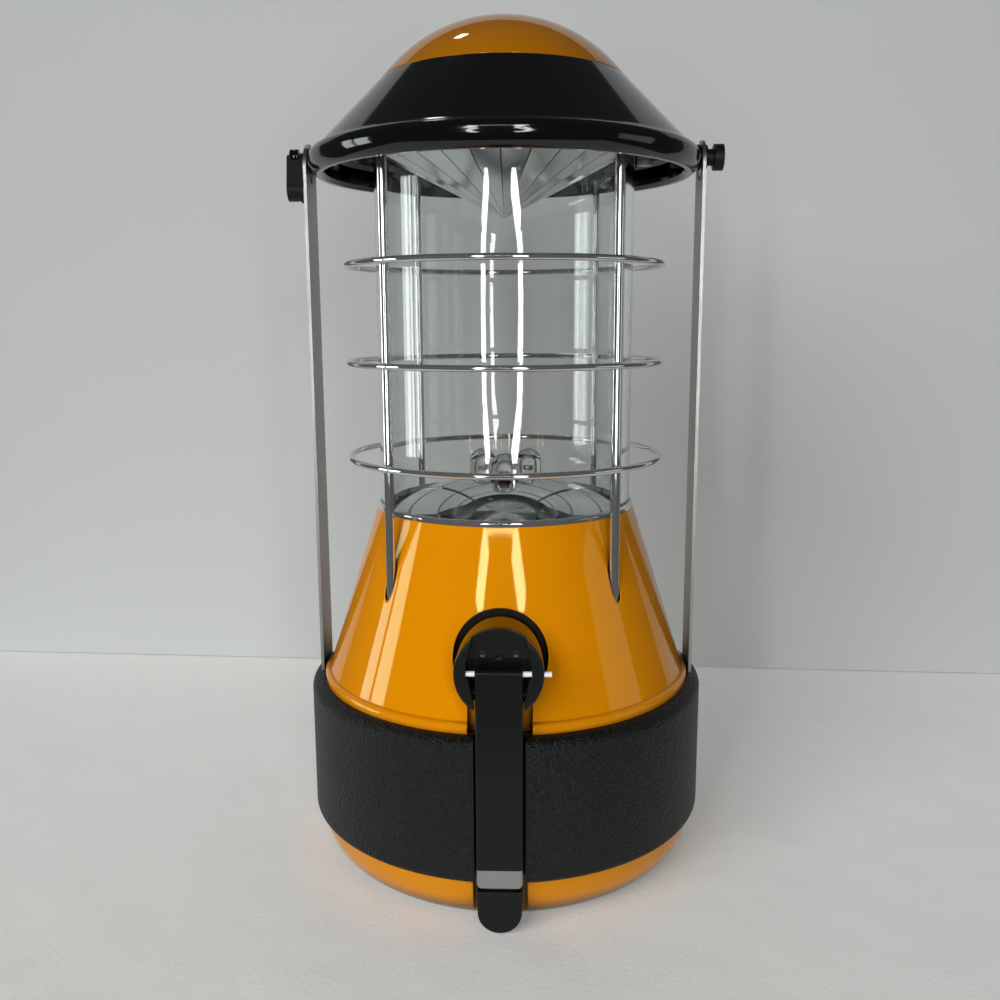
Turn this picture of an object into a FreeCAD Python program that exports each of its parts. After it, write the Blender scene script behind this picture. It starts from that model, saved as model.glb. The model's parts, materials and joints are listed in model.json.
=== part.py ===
"""Hand crank lantern: a parametric document, one object for each piece.

Millimetres, +Z up, the floor at Z = 0 and the lantern's axis on Z.
The crank is at the front (-Y), the two side stays stand at -X and +X.
"""
import FreeCAD, Part
import math
import os
import Sketcher

doc = FreeCAD.newDocument("hand_crank_lantern")
sheet = doc.addObject("Spreadsheet::Sheet", "dims")

# Driving sizes: alias, millimetres (or a count), what it is
SIZES = [
    ("tub_radius", 62.4, "outside of the tub and of the cone lip"),
    ("tub_wall", 2.4, "tub wall"),
    ("tub_floor", 2.2, "tub floor"),
    ("tub_top", 58.6, "seam of tub and cone above the floor"),
    ("skirt_proud", 2.0, "skirt below the grip, outside the tub wall"),
    ("skirt_tuck", 6.9, "how far the underside draws in from the skirt"),
    ("skirt_top", 14.2, "top of the skirt above the floor"),
    ("skirt_curve", 16.0, "rounding of the skirt"),
    ("plug_radius", 6.0, "rubber plugs over the housing screws"),
    ("plug_thick", 1.0, "their thickness"),
    ("screw_inset", 7.5, "housing screws inside the edge of the underside"),
    ("screw_radius", 1.4, "screws"),
    ("screw_head", 2.6, "their heads"),
    ("screw_depth", 9.0, "seat of the housing screws below the seam"),
    ("screw_reach", 17.0, "their length above that seat"),
    ("boss_wall", 1.6, "wall round the wells of the screws"),
    ("web_thick", 2.4, "webs between screw bosses and wall"),
    ("seat_gap", 0.1, "gap between fixed pieces that slip together"),
    ("press_gap", 0.02, "radial play of what sits tight in a bore"),
    ("run_gap", 0.05, "radial play of what turns on a pin or shaft"),
    ("face_gap", 0.3, "end play between moving faces"),
    ("grip_wall", 4.4, "rubber grip outside the tub wall"),
    ("grip_lap", 0.8, "how far the grip laps over the seam"),
    ("grip_round", 3.4, "upper outer rounding of the grip"),
    ("grip_foot", 2.0, "lower outer rounding of the grip"),
    ("slot_width", 16.2, "slot for the crank arm in grip and tub"),
    ("slot_depth", 2.4, "that slot in the tub wall"),
    ("liner_wall", 2.0, "walls of slot, nest and pocket"),
    ("nest_side", 1.2, "room beside and over the crank knob in its nest"),
    ("nest_end", 2.1, "room behind the crank knob"),
    ("lip_height", 3.8, "rolled lip at the foot of the cone"),
    ("lip_round", 1.5, "rounding of that lip"),
    ("lip_step", 1.8, "step from the lip in to the cone"),
    ("cone_height", 54.9, "cone above the lip"),
    ("cone_wall", 2.4, "cone wall"),
    ("cone_edge", 1.2, "top edge of the cone outside the globe"),
    ("channel_width", 19.2, "channel for the arm in the cone"),
    ("channel_depth", 4.9, "that channel inside the lip"),
    ("ledge_depth", 7.7, "ledge for the globe below the top of the cone"),
    ("ledge_thick", 2.6, "that ledge"),
    ("ledge_reach", 3.0, "how far the ledge reaches in under the mirror"),
    ("globe_length", 120.2, "length of the clear globe"),
    ("globe_wall", 2.6, "globe wall"),
    ("globe_space", 7.1, "globe inside the circle of the rods"),
    ("seal_height", 0.7, "rubber rings under and over the globe"),
    ("trim_height", 1.8, "chrome ring round the globe"),
    ("crank_lift", 17.8, "crank axis above the lip"),
    ("pocket_radius", 14.2, "round pocket of the crank hub"),
    ("pocket_depth", 15.4, "bottom of that pocket inside the tub radius"),
    ("boss_length", 13.1, "yellow boss behind the hub rim"),
    ("neck_radius", 9.0, "neck that carries the boss"),
    ("bush_radius", 5.0, "outside of the shaft bush"),
    ("dust_ring", 1.5, "black dust ring at the bottom of the pocket"),
    ("hub_radius", 12.9, "crank hub"),
    ("hub_proud", 6.6, "front of the hub outside the tub radius"),
    ("hub_rim", 3.4, "thickness of the rim of the hub"),
    ("hub_step", 1.6, "step from that rim in to the body of the hub"),
    ("hub_depth", 9.0, "whole hub thickness"),
    ("hub_web", 1.6, "web behind the slot of the hub"),
    ("hub_round", 0.6, "edge rounding of the hub"),
    ("hub_seat", 2.8, "depth of the flat seat over the pin"),
    ("hub_seat_lift", 4.0, "lower edge of that seat above the pin"),
    ("hub_belly", 9.4, "half width of the hub slot at the pin"),
    ("hub_belly_curve", 34.0, "curve of the slot cheeks"),
    ("pin_radius", 0.8, "hinge pin of the arm"),
    ("pin_inset", 1.2, "pin axis behind the arm face"),
    ("pin_left", 11.0, "left end of the pin from the axis"),
    ("pin_right", 15.0, "right end of the pin from the axis"),
    ("arm_width", 13.6, "crank arm"),
    ("arm_thick", 7.4, "arm thickness"),
    ("arm_round", 0.8, "arm edge rounding"),
    ("arm_skin", 2.4, "face of the arm in front of its trough"),
    ("collar_height", 5.6, "metal collar below the arm"),
    ("collar_round", 1.6, "lower corners of the collar"),
    ("tongue_gap", 1.2, "groove between collar and tongue"),
    ("tongue_radius", 6.5, "round end of the tongue"),
    ("tongue_straight", 6.6, "straight part of the tongue"),
    ("tongue_low", 0.5, "lowest point of the tongue above the floor"),
    ("neck_width", 9.0, "neck inside the collar"),
    ("neck_thick", 4.4, "thickness of that neck"),
    ("neck_inset", 1.4, "neck behind the arm face"),
    ("knob_radius", 5.0, "spinning crank knob"),
    ("knob_length", 10.8, "its length"),
    ("knob_round", 1.6, "its tip rounding"),
    ("knob_tip", 1.2, "its closed end"),
    ("axle_radius", 1.5, "small axles"),
    ("axle_seat", 4.2, "knob axle inside the arm"),
    ("shaft_radius", 3.0, "crank shaft"),
    ("gear_module", 0.8, "tooth module of the two slow pairs"),
    ("fine_module", 0.5, "tooth module of the rotor pair"),
    ("drive_teeth", 56, "teeth of the drive gear"),
    ("first_pinion", 14, "teeth of the first pinion"),
    ("first_wheel", 42, "teeth of the first wheel"),
    ("second_pinion", 14, "teeth of the second pinion"),
    ("second_wheel", 42, "teeth of the second wheel"),
    ("rotor_pinion", 14, "teeth of the rotor pinion"),
    ("gear_play", 0.12, "play between the flanks of two gears"),
    ("gear_room", 1.0, "room round the drive gear"),
    ("wheel_step", 0.7, "side gap from one gear to the next"),
    ("window_radius", 4.2, "round windows of the drive gear"),
    ("window_circle", 13.2, "their circle"),
    ("plate_gap", 0.1, "front gear plate behind the pocket cup"),
    ("plate_thick", 1.5, "gear plates"),
    ("plate_space", 19.4, "space between the gear plates"),
    ("plate_drop", 44.2, "foot of the gear plates below the crank axis"),
    ("plate_rise", 11.8, "top of the gear plates above the crank axis"),
    ("plate_half", 31.0, "half width of the gear plates"),
    ("pillar_radius", 2.5, "pillars between the plates"),
    ("clutch_radius", 6.0, "one way clutch on the shaft"),
    ("roller_radius", 1.3, "rollers of that clutch"),
    ("drive_thick", 4.0, "drive gear face width"),
    ("drive_inset", 3.0, "drive gear behind the front plate"),
    ("wheel_thick", 2.6, "other wheels"),
    ("can_radius", 15.0, "generator can"),
    ("can_length", 20.0, "its length"),
    ("can_wall", 1.4, "its wall"),
    ("rotor_shaft", 1.0, "rotor shaft"),
    ("magnet_gap", 1.0, "gap from the rotor magnet to the can"),
    ("cell_radius", 7.1, "battery cell"),
    ("cell_length", 50.0, "its length"),
    ("cell_tip", 2.6, "its contact tip"),
    ("cell_pitch", 15.2, "pitch of the cells"),
    ("holder_wall", 1.6, "battery holder"),
    ("battery_place", 14.0, "middle of the battery behind the axis"),
    ("door_thick", 1.8, "battery door"),
    ("door_ear", 5.5, "round ears of the door"),
    ("door_ear_reach", 4.5, "screws of the door from its edge"),
    ("door_screw", 8.0, "length of those screws"),
    ("groove_depth", 0.5, "finger grooves in the door"),
    ("board_width", 36.0, "circuit board"),
    ("board_rise", 11.0, "circuit board above the button"),
    ("board_drop", 21.0, "circuit board below the button"),
    ("board_inset", 15.2, "circuit board inside the cone at the button"),
    ("board_thick", 1.6, "circuit boards"),
    ("post_radius", 2.5, "posts of the circuit board"),
    ("post_place", 14.0, "those posts from the middle"),
    ("button_lift", 22.6, "power button above the lip"),
    ("button_radius", 6.0, "power button"),
    ("button_proud", 2.5, "its face outside the cone"),
    ("button_stem", 3.0, "its stem"),
    ("button_travel", 1.2, "travel of the button"),
    ("button_room", 2.0, "room between button and switch"),
    ("switch_size", 10.0, "switch body, square"),
    ("switch_depth", 5.2, "its depth"),
    ("mirror_edge", 6.8, "straight skirt of the lower mirror"),
    ("mirror_curve", 78.0, "radius of its dome"),
    ("mirror_gap", 0.3, "lower mirror inside the globe"),
    ("mirror_wall", 1.2, "mirror walls"),
    ("lamp_radius", 4.5, "light emitting diode"),
    ("lamp_height", 14.4, "its height above the board"),
    ("lamp_flange", 0.5, "its flange outside the stem"),
    ("lamp_circle", 9.0, "circle of the diodes"),
    ("lamp_board_lift", 4.6, "top of the lamp board above the rim of the lower mirror"),
    ("lamp_board_edge", 0.4, "edge of the board outside the flanges"),
    ("rod_radius", 1.5, "guard rods"),
    ("rod_edge", 5.0, "circle of the rods inside the edge of the cap plate"),
    ("rod_lift", 14.6, "lower end of the rods above the lip"),
    ("rod_hold", 11.0, "tight length of the rod bores"),
    ("rod_end", 2.4, "rod ends above their nuts"),
    ("wire_radius", 1.0, "wire of the guard rings"),
    ("guard_lift", 16.7, "lowest guard ring above the cone"),
    ("guard_pitch", 31.0, "pitch of the guard rings"),
    ("nut_corner", 3.15, "corner radius of the rod nuts"),
    ("nut_height", 2.4, "rod nuts"),
    ("cap_plate_thick", 2.0, "cap plate"),
    ("cap_plate_gap", 3.2, "cap plate inside the opening of the rim"),
    ("cap_screw_inset", 2.9, "cap screws inside the edge of the plate"),
    ("socket_radius", 4.0, "rod sockets under the cap plate"),
    ("socket_height", 4.8, "their height"),
    ("rim_inset", 0.1, "cap rim inside the tub radius"),
    ("rim_width", 5.1, "level width of the rolled rim"),
    ("rim_drop", 7.6, "bottom of the rim below the cap plate"),
    ("rim_belly", 5.4, "widest part of the rim above its bottom"),
    ("rim_under", 5.6, "lower rounding of the rim"),
    ("rim_over", 3.6, "upper rounding of the rim"),
    ("bead_step", 3.3, "groove above the rim inside its widest part"),
    ("bead_rise", 0.8, "that groove above the cap plate"),
    ("shelf_reach", 4.5, "shelf of the shade over the cap plate"),
    ("shelf_thick", 1.8, "that shelf"),
    ("seam_radius", 39.0, "seam of dome and shade"),
    ("shade_rise", 20.3, "shade from the groove to that seam"),
    ("shade_wall", 3.0, "shade wall, measured level"),
    ("dome_rise", 19.2, "dome above the seam"),
    ("dome_wall", 2.0, "dome wall"),
    ("spigot_gap", 0.15, "dome spigot inside the shade"),
    ("spigot_depth", 3.0, "that spigot"),
    ("spike_depth", 19.0, "upper mirror from its edge to its tip"),
    ("spike_collar", 1.4, "its edge below the cap plate"),
    ("spike_gap", 0.5, "upper mirror inside the globe"),
    ("spike_faces", 24, "flat faces of the upper mirror"),
    ("stay_gap", 0.3, "inner face of the stays outside the tub"),
    ("stay_thick", 1.0, "stay strap"),
    ("stay_width", 14.8, "its width"),
    ("stay_foot", 7.8, "its lower end above the skirt"),
    ("stay_over", 5.2, "its upper end above the studs"),
    ("stay_screw_low", 8.0, "lower screw above the end of the stay"),
    ("stay_screw_pitch", 18.0, "from that screw to the next"),
    ("stay_screw", 5.0, "length of those screws in the wall"),
    ("stud_drop", 1.8, "studs of the stays below the cap plate"),
    ("stud_radius", 1.5, "studs"),
    ("stud_slot", 3.4, "width of the slot in the stay"),
    ("stud_slot_length", 7.1, "that slot below the stud"),
    ("spacer_radius", 4.0, "spacers between cap rim and stays"),
    ("spool_flange", 3.8, "flange of the right knob"),
    ("spool_neck", 2.6, "neck of the right knob"),
    ("spool_head", 4.1, "head of the right knob"),
    ("lever_drop", 8.9, "tail of the left lever below its stud"),
    ("lever_slab", 1.9, "inner plate of the lever"),
    ("lever_lobe", 4.2, "outer lobe of the lever"),
]


class Size:
    """A number together with the formula that keeps it tied to the sheet."""

    def __init__(self, number, text):
        self.number = float(number)
        self.text = text

    def __add__(self, other):
        return Size(self.number + number_of(other), "(%s + %s)" % (self.text, text_of(other)))

    def __sub__(self, other):
        return Size(self.number - number_of(other), "(%s - %s)" % (self.text, text_of(other)))

    def __mul__(self, other):
        return Size(self.number * number_of(other), "(%s * %s)" % (self.text, text_of(other)))

    def __truediv__(self, other):
        return Size(self.number / number_of(other), "(%s / %s)" % (self.text, text_of(other)))

    def __rsub__(self, other):
        return Size(number_of(other) - self.number, "(%s - %s)" % (text_of(other), self.text))

    def __neg__(self):
        return Size(-self.number, "(0 - %s)" % self.text)

    __radd__ = __add__
    __rmul__ = __mul__


def number_of(value):
    """The plain number of a size or a number."""
    return value.number if isinstance(value, Size) else float(value)


def text_of(value):
    """The formula of a size or a number."""
    return value.text if isinstance(value, Size) else repr(float(value))


def root(value):
    """Square root of a size."""
    return Size(math.sqrt(value.number), "sqrt(%s)" % value.text)


class Dims:
    """The driving sizes by name."""


dims = Dims()
for row, (alias, amount, meaning) in enumerate(SIZES, start=1):
    sheet.set("A%d" % row, meaning)
    sheet.set("B%d" % row, str(amount))
    sheet.setAlias("B%d" % row, alias)
    setattr(dims, alias, Size(amount, "dims." + alias))
doc.recompute()

PARTS = []

TURN_TO_Y = FreeCAD.Rotation(FreeCAD.Vector(1, 0, 0), -90)
TURN_TO_X = FreeCAD.Rotation(FreeCAD.Vector(0, 1, 0), 90)
UPRIGHT = FreeCAD.Rotation()
TURNS = {"x": TURN_TO_X, "y": TURN_TO_Y, "z": UPRIGHT}


def bind(obj, **sizes):
    """Tie properties of an object to sheet formulas or set plain numbers."""
    for name, size in sizes.items():
        if isinstance(size, Size):
            obj.setExpression(name, size.text)
        else:
            setattr(obj, name, size)


def place(obj, x=0.0, y=0.0, z=0.0, turn=UPRIGHT):
    """Place an object, each coordinate tied to its formula."""
    obj.Placement = FreeCAD.Placement(FreeCAD.Vector(number_of(x), number_of(y), number_of(z)), turn)
    for axis, size in (("x", x), ("y", y), ("z", z)):
        if isinstance(size, Size):
            obj.setExpression("Placement.Base." + axis, size.text)
    return obj


def rod(name, radius, length, x=0.0, y=0.0, z=0.0, along="z"):
    """A cylinder from its start point towards +X, +Y or +Z."""
    obj = doc.addObject("Part::Cylinder", name)
    bind(obj, Radius=radius, Height=length)
    return place(obj, x, y, z, TURNS[along])


def side_rod(name, radius, near, far, side, height):
    """A level cylinder from near to far of the axis, to the right (1) or to the left (-1)."""
    return rod(name, radius, far - near, near if side > 0 else -far, 0.0, height, "x")


def sphere(name, radius, z):
    """A ball with its centre on the lantern's axis."""
    obj = doc.addObject("Part::Sphere", name)
    bind(obj, Radius=radius)
    return place(obj, 0.0, 0.0, z)


def block(name, x_size, y_size, z_size, x=0.0, y=0.0, z=0.0):
    """A box centred in X on x, from y and z upwards."""
    obj = doc.addObject("Part::Box", name)
    bind(obj, Length=x_size, Width=y_size, Height=z_size)
    return place(obj, x - x_size / 2, y, z)


def cut(name, base, *tools):
    """The base with the tools taken away."""
    obj = doc.addObject("Part::Cut", name)
    obj.Base = base
    obj.Tool = tools[0] if len(tools) == 1 else fuse(name + "_tools", *tools)
    return obj


def fuse(name, *pieces):
    """Several shapes as one."""
    obj = doc.addObject("Part::MultiFuse", name)
    obj.Shapes = list(pieces)
    return obj


def common(name, *pieces):
    """What the shapes share."""
    obj = doc.addObject("Part::MultiCommon", name)
    obj.Shapes = list(pieces)
    return obj


def group(name, pieces):
    """Identical loose pieces kept together as separate solids."""
    obj = doc.addObject("Part::Compound", name)
    obj.Links = list(pieces)
    return obj


def tube(name, outer, inner, length, x=0.0, y=0.0, z=0.0, along="z"):
    """A ring or sleeve."""
    return cut(name, rod(name + "_outside", outer, length, x, y, z, along),
               rod(name + "_bore", inner, length, x, y, z, along))


def part(obj, label):
    """Name an object as one piece of the lantern."""
    obj.Label = label
    PARTS.append(obj)
    return obj


def outline(body, plane_role, points, name):
    """A closed sketch; a third item in a point is the radius of an arc to the next point.

    A positive radius runs anticlockwise, a negative one clockwise.
    """
    sketch = body.newObject("Sketcher::SketchObject", name)
    plane = [item for item in body.Origin.OriginFeatures if item.Role == plane_role][0]
    sketch.AttachmentSupport = (plane, [""])
    sketch.MapMode = "FlatFace"
    ends = []
    for index, point in enumerate(points):
        follower = points[(index + 1) % len(points)]
        start = FreeCAD.Vector(number_of(point[0]), number_of(point[1]), 0)
        stop = FreeCAD.Vector(number_of(follower[0]), number_of(follower[1]), 0)
        if len(point) == 2:
            geometry = sketch.addGeometry(Part.LineSegment(start, stop), False)
            ends.append((geometry, 1, 2))
            continue
        radius = number_of(point[2])
        forward = radius > 0
        first, last = (start, stop) if forward else (stop, start)
        chord = last - first
        rise = math.sqrt(max(radius * radius - chord.Length ** 2 / 4.0, 0.0))
        side = FreeCAD.Vector(-chord.y, chord.x, 0).normalize()
        centre = (first + last) * 0.5 + side * rise
        from_angle = math.atan2(first.y - centre.y, first.x - centre.x)
        to_angle = math.atan2(last.y - centre.y, last.x - centre.x)
        circle = Part.Circle(centre, FreeCAD.Vector(0, 0, 1), abs(radius))
        geometry = sketch.addGeometry(Part.ArcOfCircle(circle, from_angle, to_angle), False)
        ends.append((geometry, 1, 2) if forward else (geometry, 2, 1))
        bound = point[2] if forward else -point[2]
        constraint = sketch.addConstraint(Sketcher.Constraint("Radius", geometry, abs(radius)))
        sketch.setExpression("Constraints[%d]" % constraint, text_of(bound))
    for index, (geometry, start_end, stop_end) in enumerate(ends):
        following = ends[(index + 1) % len(ends)]
        sketch.addConstraint(Sketcher.Constraint("Coincident", geometry, stop_end, following[0],
                                                 following[1]))
        for kind, axis, size in (("DistanceX", -2, points[index][0]), ("DistanceY", -1, points[index][1])):
            if number_of(size) == 0.0:
                sketch.addConstraint(Sketcher.Constraint("PointOnObject", geometry, start_end, axis))
                continue
            constraint = sketch.addConstraint(
                Sketcher.Constraint(kind, -1, 1, geometry, start_end, number_of(size)))
            if isinstance(size, Size):
                sketch.setExpression("Constraints[%d]" % constraint, size.text)
    return sketch


def turned(name, points):
    """A turned body: the outline (radius, height) revolved round the lantern's axis."""
    body = doc.addObject("PartDesign::Body", name)
    sketch = outline(body, "XZ_Plane", points, name + "_outline")
    feature = body.newObject("PartDesign::Revolution", name + "_revolution")
    feature.Profile = (sketch, [""])
    feature.ReferenceAxis = (sketch, ["V_Axis"])
    feature.Angle = 360.0
    sketch.Visibility = False
    body.Tip = feature
    return body


def padded(name, plane_role, points, length, x=0.0, y=0.0, z=0.0):
    """A body with one straight pad of an outline, moved to its place."""
    body = doc.addObject("PartDesign::Body", name)
    sketch = outline(body, plane_role, points, name + "_outline")
    feature = body.newObject("PartDesign::Pad", name + "_pad")
    feature.Profile = (sketch, [""])
    bind(feature, Length=length)
    body.Tip = feature
    return place(body, x, y, z)


def rib(name, near, far, width, height, cosine, sine, z):
    """An upright web that runs outwards at an angle from the axis."""
    obj = doc.addObject("Part::Box", name)
    bind(obj, Length=far - near, Width=width, Height=height)
    turn = FreeCAD.Rotation(FreeCAD.Vector(0, 0, 1), math.degrees(math.atan2(sine, cosine)))
    return place(obj, near * cosine + width / 2 * sine, near * sine - width / 2 * cosine, z, turn)


def around(count, first_angle=45.0):
    """Cosine and sine of each place on a circle."""
    for index in range(count):
        angle = math.radians(first_angle + 360.0 * index / count)
        yield index, math.cos(angle), math.sin(angle)


def solid_feature(name, shape, x=0.0, y=0.0, z=0.0, turn=UPRIGHT):
    """A shape made with Part's own functions."""
    obj = doc.addObject("Part::Feature", name)
    obj.Shape = shape
    return place(obj, x, y, z, turn)


# Widths that follow from the driving sizes
tub_inside = dims.tub_radius - dims.tub_wall
skirt_radius = dims.tub_radius + dims.skirt_proud
base_radius = skirt_radius - dims.skirt_tuck
screw_circle = base_radius - dims.screw_inset
grip_radius = dims.tub_radius + dims.grip_wall
slot_floor = dims.tub_radius - dims.slot_depth
channel_floor = dims.tub_radius - dims.channel_depth
rim_radius = dims.tub_radius - dims.rim_inset
rim_opening = rim_radius - dims.rim_width
bead_radius = rim_radius - dims.bead_step
cap_plate_radius = rim_opening - dims.cap_plate_gap
cap_screw_circle = cap_plate_radius - dims.cap_screw_inset
rod_circle = cap_plate_radius - dims.rod_edge
globe_radius = rod_circle - dims.globe_space
globe_inside = globe_radius - dims.globe_wall
globe_bore = globe_radius + dims.seat_gap * 1.5
cone_head = globe_radius + dims.cone_edge
cone_foot = dims.tub_radius - dims.lip_step
mirror_radius = globe_inside - dims.mirror_gap
spike_radius = globe_inside - dims.spike_gap
ledge_bore = mirror_radius - dims.ledge_reach
stay_inner = dims.tub_radius + dims.stay_gap
stay_outer = stay_inner + dims.stay_thick

# Heights above the floor
floor_top = dims.tub_floor
lip_top = dims.tub_top + dims.lip_height
cone_top = lip_top + dims.cone_height
crank_height = lip_top + dims.crank_lift
button_height = lip_top + dims.button_lift
ledge_height = cone_top - dims.ledge_depth
globe_low = ledge_height + dims.seal_height
globe_high = globe_low + dims.globe_length
cap_plate_low = globe_high + dims.seal_height
cap_plate_high = cap_plate_low + dims.cap_plate_thick
rim_low = cap_plate_low - dims.rim_drop
rim_height = rim_low + dims.rim_belly
bead_height = cap_plate_low + dims.bead_rise
seam_height = bead_height + dims.shade_rise
dome_top = seam_height + dims.dome_rise
spike_rim = cap_plate_low - dims.spike_collar
spike_low = spike_rim - dims.spike_depth
stud_height = cap_plate_low - dims.stud_drop
stud_slot_low = stud_height - dims.stud_slot_length
stay_low = dims.skirt_top + dims.stay_foot
stay_high = stud_height + dims.stay_over
stay_screw_heights = (stay_low + dims.stay_screw_low,
                      stay_low + dims.stay_screw_low + dims.stay_screw_pitch)
grip_top = dims.tub_top + dims.grip_lap
rod_low = lip_top + dims.rod_lift
rod_free = rod_low + dims.rod_hold
rod_high = cap_plate_high + dims.nut_height + dims.rod_end
guard_low = cone_top + dims.guard_lift
mirror_rim = ledge_height + dims.mirror_edge
mirror_centre = mirror_rim - root(dims.mirror_curve * dims.mirror_curve - mirror_radius * mirror_radius)
mirror_top = mirror_centre + dims.mirror_curve
lamp_board_top = mirror_rim + dims.lamp_board_lift
knob_height = dims.tongue_low + dims.tongue_radius
tongue_top = knob_height + dims.tongue_straight
collar_low = tongue_top + dims.tongue_gap
arm_end = collar_low + dims.collar_height
screw_seat = dims.tub_top - dims.screw_depth
board_low = button_height - dims.board_drop
board_high = button_height + dims.board_rise
plate_low = crank_height - dims.plate_drop

# Places in front of and behind the axis
hub_face = dims.tub_radius + dims.hub_proud
hub_back = hub_face - dims.hub_depth
hub_body = dims.hub_radius - dims.hub_step
boss_face = hub_face - dims.hub_rim - dims.face_gap
boss_back = boss_face - dims.boss_length
pin_place = hub_face - dims.pin_inset
arm_back = hub_face - dims.arm_thick
knob_front = arm_back - dims.face_gap
nest_floor = knob_front - dims.knob_length - dims.nest_end
pocket_floor = dims.tub_radius - dims.pocket_depth
cup_back = pocket_floor - dims.liner_wall - dims.seat_gap * 5
plate_front = cup_back - dims.plate_gap
gears_front = plate_front - dims.plate_thick
gears_back = gears_front - dims.plate_space
plates_back = gears_back - dims.plate_thick
drive_front = gears_front - dims.drive_inset
cone_slope = (cone_foot - cone_head) / dims.cone_height
battery_length = dims.cell_length + dims.holder_wall * 2 + 1.2
battery_width = dims.cell_pitch * 2 + dims.cell_radius * 2 + dims.holder_wall * 2 + 0.6
battery_front = dims.battery_place - battery_width / 2
SCREW_ANGLES = (30.0, 150.0, 210.0, 330.0)


def cone_outside(height):
    """Outer radius of the cone at a height."""
    return cone_head + (cone_top - height) * cone_slope


def screw_places():
    """Cosine and sine of each housing screw, clear of battery, stays and crank."""
    for angle in SCREW_ANGLES:
        yield math.cos(math.radians(angle)), math.sin(math.radians(angle))


board_place = cone_outside(button_height) - dims.board_inset
board_back = board_place + dims.board_thick
button_face = cone_outside(button_height) + dims.button_proud


# Tub, grip and underside

def make_base_tub():
    """Yellow tub: turned wall with skirt, slot for the arm, nest for the knob, battery opening."""
    outside = turned("tub_outside", [
        (0.0, 0.0), (base_radius, 0.0, dims.skirt_curve),
        (skirt_radius, dims.skirt_top), (dims.tub_radius, dims.skirt_top),
        (dims.tub_radius, dims.tub_top), (0.0, dims.tub_top)])
    inside = turned("tub_space", [
        (0.0, floor_top), (base_radius - dims.tub_wall, floor_top),
        (tub_inside, dims.skirt_top - dims.tub_wall), (tub_inside, dims.tub_top), (0.0, dims.tub_top)])
    nest_width = (dims.knob_radius + dims.nest_side) * 2
    nest_top = knob_height + dims.knob_radius + dims.nest_side
    slot_liner = block("slot_liner", dims.slot_width + dims.liner_wall * 2, dims.tub_radius,
                       dims.tub_top, 0.0, -(slot_floor - dims.liner_wall + dims.tub_radius), 0.0)
    nest_liner = block("nest_liner", nest_width + dims.liner_wall * 2, dims.tub_radius,
                       nest_top + dims.liner_wall, 0.0, -(nest_floor - dims.liner_wall + dims.tub_radius),
                       0.0)
    kept = [slot_liner, nest_liner]
    for cosine, sine in screw_places():
        kept.append(rod("tub_boss", well_radius + dims.boss_wall, dims.tub_top, screw_circle * cosine,
                        screw_circle * sine, 0.0))
        kept.append(rib("tub_rib", screw_circle, dims.tub_radius, dims.web_thick,
                        dims.tub_top - dims.seat_gap,
                        cosine, sine, 0.0))
    for side in (1, -1):
        for height in stay_screw_heights:
            kept.append(side_rod("stay_boss", dims.screw_head + dims.boss_wall,
                                 dims.tub_radius - dims.stay_screw
                                 - dims.boss_wall, dims.tub_radius, side, height))
        kept.append(rod("door_boss", dims.door_ear + dims.boss_wall, dims.door_screw + dims.boss_wall,
                        0.0, door_screw_place(side), 0.0))
    hollow = cut("tub_hollow", inside, *kept)
    slot = block("arm_slot", dims.slot_width, dims.tub_radius, dims.tub_top * 2, 0.0,
                 -(slot_floor + dims.tub_radius), -dims.tub_top / 2)
    nest = block("knob_nest", nest_width, dims.tub_radius, nest_top * 2, 0.0,
                 -(nest_floor + dims.tub_radius), -nest_top)
    opening = block("battery_opening", battery_length + dims.seat_gap * 4,
                    battery_width + dims.seat_gap * 4,
                    holder_top * 2, 0.0, battery_front - dims.seat_gap * 2, -holder_top)
    cuts = [slot, nest, opening]
    for cosine, sine in screw_places():
        x, y = screw_circle * cosine, screw_circle * sine
        cuts.append(rod("plug_seat", dims.plug_radius + dims.seat_gap, dims.plug_thick * 2, x, y,
                        dims.seat_gap - dims.plug_thick))
        cuts.append(rod("screw_well", well_radius, screw_seat, x, y, 0.0))
        cuts.append(rod("screw_bore", dims.screw_radius + dims.seat_gap, dims.tub_top, x, y, screw_seat))
    for side in (1, -1):
        for height in stay_screw_heights:
            cuts.append(side_rod("stay_bore", dims.screw_radius + dims.press_gap,
                                 dims.tub_radius - dims.stay_screw, stay_outer, side, height))
        y = door_screw_place(side)
        cuts.append(rod("ear_seat", dims.door_ear + dims.seat_gap, door_seat * 2, 0.0, y, -door_seat))
        cuts.append(block("ear_way", (dims.door_ear + dims.seat_gap) * 2, dims.door_ear_reach,
                          door_seat * 2, 0.0,
                          y if side < 0 else y - dims.door_ear_reach, -door_seat))
        cuts.append(rod("door_bore", dims.screw_radius + dims.press_gap, dims.door_screw + dims.seat_gap,
                        0.0, y, 0.0))
    part(cut("tub_shell", outside, hollow, *cuts), "base_tub")


well_radius = dims.screw_head + dims.seat_gap * 3
door_seat = dims.door_thick + dims.seat_gap
holder_low = door_seat + dims.seat_gap
holder_top = holder_low + dims.cell_radius * 2 + dims.holder_wall + dims.seat_gap * 5


def door_screw_place(side):
    """Place of a door screw in front of (-1) or behind (+1) the battery."""
    return dims.battery_place + (battery_width / 2 + dims.door_ear_reach) * side


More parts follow.
